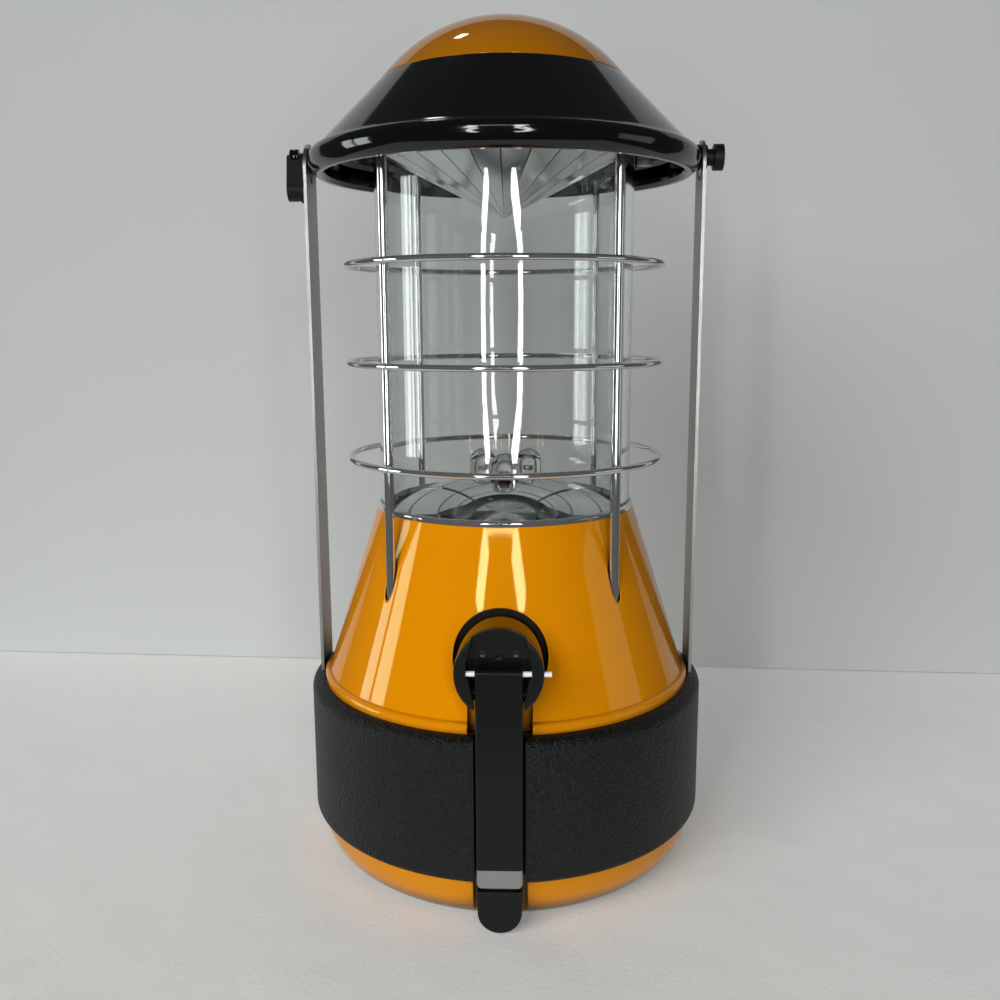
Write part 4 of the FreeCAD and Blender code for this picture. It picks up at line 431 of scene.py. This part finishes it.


# %% [markdown]
# ## Clear and plain plastics
# The globe is blown from clear polycarbonate and the diodes are cast in clear epoxy. A clear plastic
# takes a little of the light each time it passes, which its colour sets. Where the wall is seen edge on,
# the colour is painted darker, partly for the longer way through the wall and partly as painted shade,
# and that draws the sides of the globe as soft grey lines.

# %% Clear plastics

def make_clear(name, index, color, rim_color):
    """Clear plastic that bends light by its index, painted darker where it is seen edge on, partly as shade.
    """
    material, tree, shader, where = new_material(name, Roughness=0.0, IOR=index, Transmission_Weight=1.0)
    given = add_node(tree, "ShaderNodeNewGeometry").outputs["Normal"]
    tree.links.new(round_normal(tree, where, given, 0.0), shader.inputs["Normal"])
    # partly painted shade: the colour darkens towards rim_color where the wall is seen edge on
    slant = add_node(tree, "ShaderNodeLayerWeight", Blend=0.35)
    tint = add_node(tree, "ShaderNodeMix", {"Factor": slant.outputs["Facing"]}, data_type="RGBA")
    tint.inputs["A"].default_value = linear(color)
    tint.inputs["B"].default_value = linear(rim_color)
    tree.links.new(tint.outputs["Result"], shader.inputs["Base Color"])
    return material


# %% [markdown]
# The hidden parts are plain mouldings, films and laminates. A faint grain keeps them from looking like
# paint.

# %% Plastics of the inner parts
MOULD_GRAIN = 0.8 * MM


def make_plain_plastic(name, color, roughness):
    """Moulded plastic of the inner parts."""
    material, tree, shader, where = new_material(name, Base_Color=linear(color), Roughness=roughness)
    fine = add_node(tree, "ShaderNodeTexNoise", {"Vector": where}, Scale=per(MOULD_GRAIN), Detail=3.0)
    bump = add_node(tree, "ShaderNodeBump", {"Height": fine.outputs["Fac"]}, Strength=0.1, Distance=0.05 * MM)
    tree.links.new(bump.outputs[0], shader.inputs["Normal"])
    return material


# %% [markdown]
# ## Dressing the solids
# Each solid names the slot that its finish belongs to, so most finishes are made once, one for each slot.

# %% A finish for each slot
finishes = {
    "yellow_plastic": cone_yellow,
    "black_plastic": make_black_gloss(),
    "hub_plastic": make_black_nylon("black_nylon_hub", "#101312", 0.26, 0.5),
    "grip_rubber": make_grip_rubber(),
    "seal_rubber": make_seal_rubber(),
    "clear_globe": make_clear("polycarbonate_clear", 1.58, "#F8FAF9", "#E4E9E8"),
    "lamp_clear": make_clear("epoxy_clear", 1.5, "#FFFFFF", "#5E6465"),
    "mirror_finish": make_mirror("aluminium_coat_smooth", False, 0.03),
    "chrome_wire": make_metal("chrome_plated_wire", "#D4D5D5", 0.05, strength=0.01, bare=0.9),
    "stay_steel": make_metal("stainless_strip_satin", "#A4A5A2", 0.36, grain=ROLLED_GRAIN),
    "arm_black": make_black_nylon("black_nylon_arm", "#0F1312", 0.3, 0.28),
    "collar_silver": make_metal("silver_lacquer", "#A9AAA8", 0.42),
    "plain_steel": make_metal("zinc_plated_dull", "#E4E4E2", 0.45, bare=0.5),
    "gear_plastic": make_plain_plastic("acetal_moulded", "#E9E6DA", 0.4),
    "inner_black": make_plain_plastic("black_abs_matt", "#1A1A1A", 0.5),
    "button_grey": make_plain_plastic("grey_abs_satin", "#2A2B2C", 0.4),
    "cell_wrap": make_plain_plastic("cell_sleeve_film", "#34506E", 0.35),
    "board_green": make_plain_plastic("board_laminate", "#1E5A34", 0.45),
}
print("slots:", len(finishes))

# %% [markdown]
# Some solids share a slot with others but not the finish. The two knobs on the stays are duller nylon
# than the cap is ABS, the hinge pin is satin nickel painted near white as a highlight, the tub and dome
# are other yellows, and the upper mirror has its creases.

# %% Dress the solids
knob_nylon = make_black_nylon("black_nylon_knobs", "#0C0F0E", 0.5, 0.3)
own_finishes = {
    "left_lever": knob_nylon,
    "right_knob": knob_nylon,
    # painted highlight: near white and mostly diffuse, in place of the lamps that the nickel would mirror
    "crank_pin": make_metal("nickel_plate_painted_highlight", "#FFFFFF", 0.4, bare=0.15),
    "base_tub": tub_yellow,
    "cap_dome": dome_yellow,
    "upper_mirror": make_mirror("aluminium_coat_creased", True, 0.12, bare=0.75),
}
slot_of = {entry["node"]: entry["material_slot"] for entry in frame["record"]["subparts"]}
for node_name, slot_name in slot_of.items():
    mesh = nodes[node_name].data
    mesh.materials.clear()
    mesh.materials.append(own_finishes.get(node_name, finishes[slot_name]))
print("dressed", len(slot_of), "solids")

# %% [markdown]
# ## Helpers for modelling
# New pieces start as a primitive at its place, and are shaped in edit mode. The solids are all selected
# when they load, so everything is deselected first. `finish_piece` puts a piece's place into its mesh,
# gives it its finish, and lets it ride on a body of the lantern.

# %% Start clean and pick faces

def start_clean():
    """Leave edit mode and deselect every object."""
    if bpy.context.object and bpy.context.object.mode != "OBJECT":
        bpy.ops.object.mode_set(mode="OBJECT")
    bpy.ops.object.select_all(action="DESELECT")


def pick_faces(piece, wanted):
    """In edit mode, select just the faces whose centre and normal pass the test."""
    bpy.ops.mesh.select_mode(type="FACE")
    bpy.ops.mesh.select_all(action="DESELECT")
    shape = bmesh.from_edit_mesh(piece.data)
    for face in shape.faces:
        face.select = wanted(face.calc_center_median(), face.normal)
    shape.select_flush_mode()
    bmesh.update_edit_mesh(piece.data)


# %% Finish, copy and join

def finish_piece(piece, name, body, slot_name, smooth=30.0):
    """Apply the piece's place, smooth it below an angle, dress it and let it ride."""
    start_clean()
    piece.name = name
    piece.select_set(True)
    bpy.context.view_layer.objects.active = piece
    bpy.ops.object.transform_apply(location=True, rotation=True, scale=True)
    bpy.ops.object.shade_smooth_by_angle(angle=math.radians(smooth))
    piece.data.materials.clear()
    piece.data.materials.append(finishes[slot_name])
    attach(piece, body)
    print(name, "faces:", len(piece.data.polygons))


def copy_to(piece, place, turn=0.0):
    """A copy with its own mesh, moved and turned about Z."""
    twin = piece.copy()
    twin.data = piece.data.copy()
    bpy.context.scene.collection.objects.link(twin)
    twin.matrix_world = Matrix.Translation(place) @ Matrix.Rotation(turn, 4, "Z")
    return twin


def join_all(pieces):
    """Join pieces into the first."""
    start_clean()
    for piece in pieces:
        piece.select_set(True)
    bpy.context.view_layer.objects.active = pieces[0]
    bpy.ops.object.join()
    return pieces[0]


# %% [markdown]
# ## Lead frames of the diodes
# In each clear diode stands a tiny steel frame, bent over at the top like a croquet hoop, with the cup
# for the chip below its crown. The hoop is a ring cut in half with bisect, whose two ends are extruded
# down. The cup is a cylinder whose top is inset and pushed in. One frame is modelled and copied to the
# three diodes.

# %% Sizes of the lead frames
LAMP_CIRCLE = 9.0 * MM
LAMP_TURNS = [math.radians(-90.0 + 120.0 * step) for step in range(3)]
lamp_low, lamp_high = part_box("lamps")
HOOP_RADIUS = 1.75 * MM
HOOP_WIRE = 0.3 * MM
HOOP_CENTRE = lamp_high[2] - 5.0 * MM
LEG = HOOP_CENTRE - lamp_low[2] - 1.0 * MM
CUP_RADIUS = 1.15 * MM
CUP_TALL = 1.6 * MM
CUP_DROP = 1.6 * MM
CUP_WALL = 0.25 * MM
CUP_DEEP = 0.8 * MM
print("legs of the hoops:", round(LEG / MM, 2), "mm")

# %% Hoop
start_clean()
bpy.ops.mesh.primitive_torus_add(major_segments=32, minor_segments=10, major_radius=HOOP_RADIUS,
                                 minor_radius=HOOP_WIRE, location=(0, 0, 0), rotation=(math.pi / 2, 0, 0))
hoop = bpy.context.object
bpy.ops.object.transform_apply(location=True, rotation=True, scale=True)
bpy.ops.object.mode_set(mode="EDIT")
bpy.ops.mesh.select_all(action="SELECT")
bpy.ops.mesh.bisect(plane_co=(0, 0, 0), plane_no=(0, 0, 1), use_fill=True, clear_inner=True)
pick_faces(hoop, lambda centre, normal: normal.z < -0.95 and centre.z < 0.01 * MM)
bpy.ops.mesh.extrude_region_move(TRANSFORM_OT_translate={"value": (0, 0, -LEG)})
bpy.ops.object.mode_set(mode="OBJECT")
print("hoop faces:", len(hoop.data.polygons))

# %% [markdown]
# The floor of the cup is drawn in towards its middle, so the cup is a small cone inside, as the real one
# is, to throw the chip's light upwards.

# %% Cup
start_clean()
bpy.ops.mesh.primitive_cylinder_add(vertices=24, radius=CUP_RADIUS, depth=CUP_TALL,
                                    location=(0, 0, -CUP_DROP))
cup = bpy.context.object
bpy.ops.object.transform_apply(location=True, rotation=True, scale=True)
bpy.ops.object.mode_set(mode="EDIT")
pick_faces(cup, lambda centre, normal: normal.z > 0.9)
bpy.ops.mesh.inset(thickness=CUP_WALL)
bpy.ops.mesh.extrude_region_move(TRANSFORM_OT_translate={"value": (0, 0, -CUP_DEEP)})
bpy.ops.transform.resize(value=(0.5, 0.5, 1.0), center_override=(0, 0, 0))
bpy.ops.object.mode_set(mode="OBJECT")
print("cup faces:", len(cup.data.polygons))

# %% Three lead frames
lead_frame = join_all([hoop, cup])
leads = [copy_to(lead_frame, (LAMP_CIRCLE * math.cos(turn), LAMP_CIRCLE * math.sin(turn), HOOP_CENTRE))
         for turn in LAMP_TURNS]
bpy.data.objects.remove(lead_frame)
for number, lead in enumerate(leads, 1):
    finish_piece(lead, "lamp_lead_frame_%d" % number, "housing", "plain_steel")

# %% [markdown]
# ## Weld beads of the guard
# Each ring is spot welded to the four rods, which leaves a small smooth bead in the corner between them.
# A ball is flattened and pulled along the ring, and copied to the twelve crossings.

# %% Weld beads
ROD_CIRCLE = 49.0 * MM
ROD_RADIUS = 1.5 * MM
BEAD_CIRCLE = ROD_CIRCLE + ROD_RADIUS
BEAD_RADIUS = 0.85 * MM
# how the ball is pulled: across the ring, along it, and upwards
BEAD_PULL = (0.55, 1.35, 0.95)
RING_HEIGHTS = [(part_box(node)[0][2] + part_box(node)[1][2]) / 2
                for node in ("guard_ring_lower", "guard_ring_middle", "guard_ring_upper")]

start_clean()
bpy.ops.mesh.primitive_uv_sphere_add(segments=16, ring_count=10, radius=BEAD_RADIUS,
                                     location=(0, 0, 0))
bead = bpy.context.object
bpy.ops.object.mode_set(mode="EDIT")
bpy.ops.mesh.select_all(action="SELECT")
bpy.ops.transform.resize(value=BEAD_PULL, center_override=(0, 0, 0))
bpy.ops.object.mode_set(mode="OBJECT")
beads = []
for height in RING_HEIGHTS:
    for quarter in range(4):
        turn = math.radians(45.0 + 90.0 * quarter)
        place = (BEAD_CIRCLE * math.cos(turn), BEAD_CIRCLE * math.sin(turn), height)
        beads.append(copy_to(bead, place, turn))
bpy.data.objects.remove(bead)
finish_piece(join_all(beads), "guard_weld_beads", "housing", "chrome_wire", 60.0)

# %% [markdown]
# ## Lining of the arm's slot
# The slot that the folded crank lies in is lined with black rubber, so the slot looks black, not yellow:
# partly the grip's rubber, and partly a dark sheet standing for the shade deep in the slot. The lining
# starts as a block of the slot's size. Its front and ends are deleted, and Solidify thickens the three
# walls that are left.

# %% Slot lining
SLOT_HALF = 8.08 * MM
LINING_FRONT = -66.3 * MM
LINING_BACK = -60.08 * MM
LINING_LOW = 14.6 * MM
LINING_TOP = 59.2 * MM
LINING_WALL = 0.5 * MM
LINING_SOFT = 0.15 * MM

start_clean()
bpy.ops.mesh.primitive_cube_add(size=1.0, location=(0, (LINING_FRONT + LINING_BACK) / 2,
                                                    (LINING_LOW + LINING_TOP) / 2),
                                scale=(SLOT_HALF * 2, LINING_BACK - LINING_FRONT, LINING_TOP - LINING_LOW))
lining = bpy.context.object
bpy.ops.object.transform_apply(location=True, rotation=True, scale=True)
bpy.ops.object.mode_set(mode="EDIT")
pick_faces(lining, lambda centre, normal: normal.y < -0.9 or abs(normal.z) > 0.9)
bpy.ops.mesh.delete(type="FACE")
bpy.ops.object.mode_set(mode="OBJECT")
wall = lining.modifiers.new("wall", "SOLIDIFY")
wall.thickness = LINING_WALL
wall.offset = -1.0
bpy.ops.object.modifier_apply(modifier="wall")
soft = lining.modifiers.new("soft", "BEVEL")
soft.width = LINING_SOFT
soft.segments = 2
bpy.ops.object.modifier_apply(modifier="soft")
# partly painted shade: the black lining also stands for the shade deep in the slot
finish_piece(lining, "slot_lining", "housing", "seal_rubber")

# %% [markdown]
# ## Tips of the hub's jaws
# The two jaws of the hub close in round the arm towards their tips. Each tip starts as a disc of the
# hub's own radius and is cut three times with bisect: along the arm, along the inner edge of the jaw, and
# level below the pin. The second jaw is its mirror image, and mirroring turns faces inside out, so its
# normals are recalculated.

# %% Jaw tip
JAW_RADIUS = 12.82 * MM
JAW_FRONT = -68.95 * MM
JAW_DEEP = 3.2 * MM
ARM_SIDE = 7.15 * MM
# the inner edge of the jaw beside the pin and at its tip: across, and below the pin
JAW_EDGE_HIGH = Vector((9.0 * MM, 0, 0.3 * MM))
JAW_EDGE_LOW = Vector((7.1 * MM, 0, -9.8 * MM))
JAW_TOP = HUB_HEIGHT - 1.5 * MM

start_clean()
bpy.ops.mesh.primitive_cylinder_add(vertices=96, radius=JAW_RADIUS, depth=JAW_DEEP,
                                    location=(0, JAW_FRONT + JAW_DEEP / 2, HUB_HEIGHT),
                                    rotation=(math.pi / 2, 0, 0))
jaw = bpy.context.object
bpy.ops.object.transform_apply(location=True, rotation=True, scale=True)
bpy.ops.object.mode_set(mode="EDIT")
edge_run = JAW_EDGE_HIGH - JAW_EDGE_LOW
inward = Vector((-edge_run.z, 0, edge_run.x)).normalized()
on_edge = JAW_EDGE_HIGH + Vector((0, 0, HUB_HEIGHT))
cuts = ((Vector((ARM_SIDE, 0, 0)), Vector((-1, 0, 0))),
        (on_edge, inward),
        (Vector((0, 0, JAW_TOP)), Vector((0, 0, 1))))
for point, away in cuts:
    bpy.ops.mesh.select_all(action="SELECT")
    bpy.ops.mesh.bisect(plane_co=point, plane_no=away, use_fill=True, clear_outer=True)
bpy.ops.object.mode_set(mode="OBJECT")
print("jaw faces:", len(jaw.data.polygons))

# %% Both jaw tips
other_jaw = copy_to(jaw, (0, 0, 0))
start_clean()
other_jaw.select_set(True)
bpy.context.view_layer.objects.active = other_jaw
bpy.ops.object.mode_set(mode="EDIT")
bpy.ops.mesh.select_all(action="SELECT")
bpy.ops.transform.mirror(constraint_axis=(True, False, False), center_override=(0, 0, 0))
bpy.ops.mesh.normals_make_consistent(inside=False)
bpy.ops.object.mode_set(mode="OBJECT")
finish_piece(join_all([jaw, other_jaw]), "hub_jaw_tips", "crank_hub", "hub_plastic")

# %% [markdown]
# ## Marks on the crank hub
# On the flat seat of the hub are the round marks of two ejector pins and a small half round stop. Each is
# a disc a fifth of a millimetre thick, dished a little inside its rim. The stop is a disc cut in half
# with bisect.

# %% Disc on the hub's seat
HUB_SEAT = -66.2 * MM
MARK_TALL = 0.22 * MM
MARK_CLEAR = 0.02 * MM
MARK_RIM = 0.3
MARK_DISH = 0.1 * MM
MARK_RADIUS = 1.1 * MM
MARKS_ACROSS = (-4.6 * MM, 4.9 * MM)
MARK_HEIGHT = 85.6 * MM
STOP_RADIUS = 1.2 * MM
STOP_HEIGHT = 83.6 * MM


def seat_disc(radius, across, height):
    """A thin disc on the hub's seat, facing the front, dished inside its rim; it is left in edit mode."""
    start_clean()
    bpy.ops.mesh.primitive_cylinder_add(vertices=32, radius=radius, depth=MARK_TALL,
                                        location=(across, HUB_SEAT - MARK_TALL / 2 - MARK_CLEAR, height),
                                        rotation=(math.pi / 2, 0, 0))
    disc = bpy.context.object
    bpy.ops.object.transform_apply(location=True, rotation=True, scale=True)
    bpy.ops.object.mode_set(mode="EDIT")
    pick_faces(disc, lambda centre, normal: normal.y < -0.9)
    bpy.ops.mesh.inset(thickness=radius * MARK_RIM)
    bpy.ops.transform.translate(value=(0, MARK_DISH, 0))
    return disc


# %% Hub marks
marks = []
for across in MARKS_ACROSS:
    marks.append(seat_disc(MARK_RADIUS, across, MARK_HEIGHT))
stop = seat_disc(STOP_RADIUS, 0.0, STOP_HEIGHT)
bpy.ops.mesh.select_all(action="SELECT")
bpy.ops.mesh.bisect(plane_co=(0, 0, STOP_HEIGHT), plane_no=(0, 0, -1), use_fill=True, clear_outer=True)
bpy.ops.object.mode_set(mode="OBJECT")
finish_piece(join_all(marks + [stop]), "hub_seat_marks", "crank_hub", "hub_plastic")

# %% [markdown]
# ## Screw cap on the left lever
# The lever turns on a screw whose round cap stands a little above its top. It starts as a cylinder along
# the axis of the screw. Its outer face is inset and pushed in, and its edges are bevelled.

# %% Lever cap
CAP_RADIUS = 2.4 * MM
CAP_LONG = 2.9 * MM
CAP_INSIDE = 2.3 * MM
CAP_ABOVE = 1.2 * MM
CAP_RIM = 0.5 * MM
CAP_DISH = 0.3 * MM
CAP_ROUND = 0.3 * MM
lever_low, lever_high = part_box("left_lever")
cap_place = (lever_low[0] + CAP_INSIDE, 0.0, lever_high[2] - CAP_RADIUS + CAP_ABOVE)

start_clean()
bpy.ops.mesh.primitive_cylinder_add(vertices=32, radius=CAP_RADIUS, depth=CAP_LONG, location=cap_place,
                                    rotation=(0, math.pi / 2, 0))
screw_cap = bpy.context.object
bpy.ops.object.transform_apply(location=True, rotation=True, scale=True)
bpy.ops.object.mode_set(mode="EDIT")
pick_faces(screw_cap, lambda centre, normal: normal.x < -0.9)
bpy.ops.mesh.inset(thickness=CAP_RIM)
bpy.ops.transform.translate(value=(CAP_DISH, 0, 0))
bpy.ops.object.mode_set(mode="OBJECT")
round_off = screw_cap.modifiers.new("round", "BEVEL")
round_off.width = CAP_ROUND
round_off.segments = 2
bpy.ops.object.modifier_apply(modifier="round")
finish_piece(screw_cap, "lever_screw_cap", "left_lever", "black_plastic")

# %% [markdown]
# ## Floor and backdrop
# The lantern stands on a small table with a pale woven cloth, close before a pale painted board. Both end
# not far outside the picture, so beyond them the black and the chrome mirror a dark room. Each plane is
# clear from behind, so it never stands between a viewer and the lantern.

# %% Stage plane

def stage_plane(name, width, height, place, turn, color):
    """A matt plane of the studio, with its shader and Object coordinates."""
    start_clean()
    bpy.ops.mesh.primitive_plane_add(size=1.0, location=place, rotation=turn)
    plane = bpy.context.object
    plane.name = name
    plane.scale = (width, height, 1.0)
    bpy.ops.object.transform_apply(location=True, rotation=True, scale=True)
    material, tree, shader, where = new_material(name, Base_Color=linear(color), Roughness=0.8)
    back = add_node(tree, "ShaderNodeNewGeometry")
    clear = add_node(tree, "ShaderNodeBsdfTransparent")
    one_sided = add_node(tree, "ShaderNodeMixShader", {0: back.outputs["Backfacing"], 1: shader.outputs[0],
                                                       2: clear.outputs[0]})
    tree.links.new(one_sided.outputs[0], tree.nodes["Material Output"].inputs["Surface"])
    plane.data.materials.append(material)
    print("stage:", name)
    return tree, shader, where


# %% Backdrop
WALL_DEPTH = 0.170
WALL_TURN = math.radians(-2.7)
WALL_GAP = 0.4 * MM
WALL_TALL = 0.46
WALL_WIDE = 0.68
stage_plane("backdrop", WALL_WIDE, WALL_TALL, (0, WALL_DEPTH, WALL_TALL / 2 + WALL_GAP),
            (math.radians(90), 0, WALL_TURN), "#D2D5D4")

# %% [markdown]
# The cloth has soft folds a hand's breadth apart and a weave of about half a millimetre, which is drawn
# three times as coarse, or it wouldn't show. It glows a little, as thin white cloth does when light comes
# through.

# %% Floor
TABLE_FRONT = -0.20
TABLE_BACK = 0.186
WEAVE = 1.6 * MM
WEAVE_TALL = 0.4 * MM
FOLD = 45 * MM
FOLD_TALL = 4 * MM
table_middle = (0, (TABLE_BACK + TABLE_FRONT) / 2, 0)
cloth, floor_shader, floor_place = stage_plane(
    "floor", WALL_WIDE, TABLE_BACK - TABLE_FRONT, table_middle, (0, 0, 0), "#EEEFEC")
floor_shader.inputs["Emission Color"].default_value = linear("#F0F0EE")
floor_shader.inputs["Emission Strength"].default_value = 0.15
weave = add_node(cloth, "ShaderNodeTexNoise", {"Vector": floor_place}, Scale=per(WEAVE), Detail=2.0)
folds = add_node(cloth, "ShaderNodeTexNoise", {"Vector": floor_place}, Scale=per(FOLD), Detail=2.0)
soft_folds = add_node(cloth, "ShaderNodeBump", {"Height": folds.outputs["Fac"]}, Strength=0.35,
                      Distance=FOLD_TALL)
fine_weave = add_node(cloth, "ShaderNodeBump", {"Height": weave.outputs["Fac"],
                                                "Normal": soft_folds.outputs[0]},
                      Strength=0.35, Distance=WEAVE_TALL)
cloth.links.new(fine_weave.outputs[0], floor_shader.inputs["Normal"])

# %% [markdown]
# ## Light
# An area light's strength spreads over its face, so each is given by how bright its face looks, and its
# power follows from its area. A light may be seen only in mirrors, or only light things. So what draws a
# reflection and what fills the picture are set apart.

# %% Panel of light

def panel(name, place, target, width, height, brightness, color="#FFFFFF", mirrored=True, lights=True):
    """A rectangular light that faces a target; brightness is that of its face."""
    lamp = bpy.data.lights.new(name, "AREA")
    lamp.shape = "RECTANGLE"
    lamp.size = width
    lamp.size_y = height
    lamp.energy = brightness * math.pi * width * height
    lamp.color = linear(color)[:3]
    light = bpy.data.objects.new(name, lamp)
    bpy.context.scene.collection.objects.link(light)
    light.location = place
    light.rotation_euler = (Vector(target) - Vector(place)).to_track_quat("-Z", "Y").to_euler()
    light.visible_camera = False
    light.visible_diffuse = lights
    light.visible_glossy = mirrored
    light.visible_transmission = mirrored
    return light


# %% [markdown]
# Two tall bowed lamps stand beside the camera. They draw the twin streaks on globe and cone, and light
# the front. Each is a chain of straight bars, whose points were found by tracing the streaks back from
# the curved surfaces. The tops are wider, and a thin bar joins them above.

# %% Bowed lamps
BAR_DEPTH = -0.84
BAR_WIDE = 0.055
TOP_WIDE = 0.095
CROSS_WIDE = 0.009
BAR_BRIGHT = 15.0
BAR_LAP = 1.02
# points of each bar: across and height in millimetres
LEFT_BAR = [(-188, 15), (-239, 85), (-246, 190), (-237, 268), (-207, 304), (-178, 337)]
RIGHT_BAR = [(122, 15), (205, 70), (231, 190), (219, 268), (169, 303), (119, 335)]
LEFT_TOP = [(-270, 364), (-250, 405), (-212, 462)]
RIGHT_TOP = [(218, 364), (190, 402), (128, 460)]
CROSS_BAR = [(-240, 463), (150, 461)]


def bowed_bar(name, points, wide):
    """A bar of light in straight runs between its points, in the plane of the lamps."""
    for number, (start, stop) in enumerate(zip(points, points[1:]), 1):
        low = Vector((start[0] * MM, BAR_DEPTH, start[1] * MM))
        high = Vector((stop[0] * MM, BAR_DEPTH, stop[1] * MM))
        run = high - low
        light = panel("%s_%d" % (name, number), (low + high) / 2, (0, 0, 0), wide,
                      run.length * BAR_LAP, BAR_BRIGHT)
        lean = Matrix.Rotation(math.atan2(run.x, run.z), 4, "Y")
        light.rotation_euler = (lean @ Matrix.Rotation(math.pi / 2, 4, "X")).to_euler()
    print(name, "runs:", len(points) - 1)


bowed_bar("left_lamp", LEFT_BAR, BAR_WIDE)
bowed_bar("right_lamp", RIGHT_BAR, BAR_WIDE)
bowed_bar("left_lamp_top", LEFT_TOP, TOP_WIDE)
bowed_bar("right_lamp_top", RIGHT_TOP, TOP_WIDE)
bowed_bar("cross_lamp", CROSS_BAR, CROSS_WIDE)

# %% [markdown]
# A window with two panes to the left draws the pale flank of the cone, and a dim one to the right answers
# it. A small bulb overhead puts the spark on the dome. The large soft light that fills the picture would
# lie on the black cap as a grey veil, so it is hidden from mirror rays.

# %% Windows, bulb and fill
SIDE = 0.60
PANE_HEIGHT = 0.178
PANE_TALL = 0.245
PANE_COLOR = "#F6FFFD"
FAR_PANE, FAR_WIDE, FAR_BRIGHT = 0.010, 0.085, 5.0
NEAR_PANE, NEAR_WIDE, NEAR_BRIGHT = -0.110, 0.11, 6.0
RIGHT_PANE, RIGHT_HEIGHT = -0.15, 0.17
panel("window_far_pane", (-SIDE, FAR_PANE, PANE_HEIGHT), (0, FAR_PANE, PANE_HEIGHT), FAR_WIDE, PANE_TALL,
      FAR_BRIGHT, PANE_COLOR, lights=False)
panel("window_near_pane", (-SIDE, NEAR_PANE, PANE_HEIGHT), (0, NEAR_PANE, PANE_HEIGHT), NEAR_WIDE, PANE_TALL,
      NEAR_BRIGHT, PANE_COLOR, lights=False)
panel("right_window", (SIDE, RIGHT_PANE, RIGHT_HEIGHT), (0, RIGHT_PANE, RIGHT_HEIGHT), 0.27, 0.22, 0.8,
      "#F0F6F4", lights=False)
panel("ceiling_bulb", (-0.263, 0.43, 1.11), (0, 0, 0.26), 0.07, 0.07, 14.0, lights=False)
panel("left_fill", (-1.7, -2.1, 1.6), (0, 0, 0.12), 2.0, 1.6, 4.5, mirrored=False)
print("lights:", len(bpy.data.lights))

# %% [markdown]
# The rest of the room is a dim, even grey. It keeps the shadows open without a gradient in the mirrors.

# %% Room
world = bpy.data.worlds.new("room")
bpy.context.scene.world = world
world.use_nodes = True
room = world.node_tree.nodes["Background"]
room.inputs["Color"].default_value = linear("#C6CACB")
room.inputs["Strength"].default_value = 0.10
print("room:", room.inputs["Strength"].default_value)
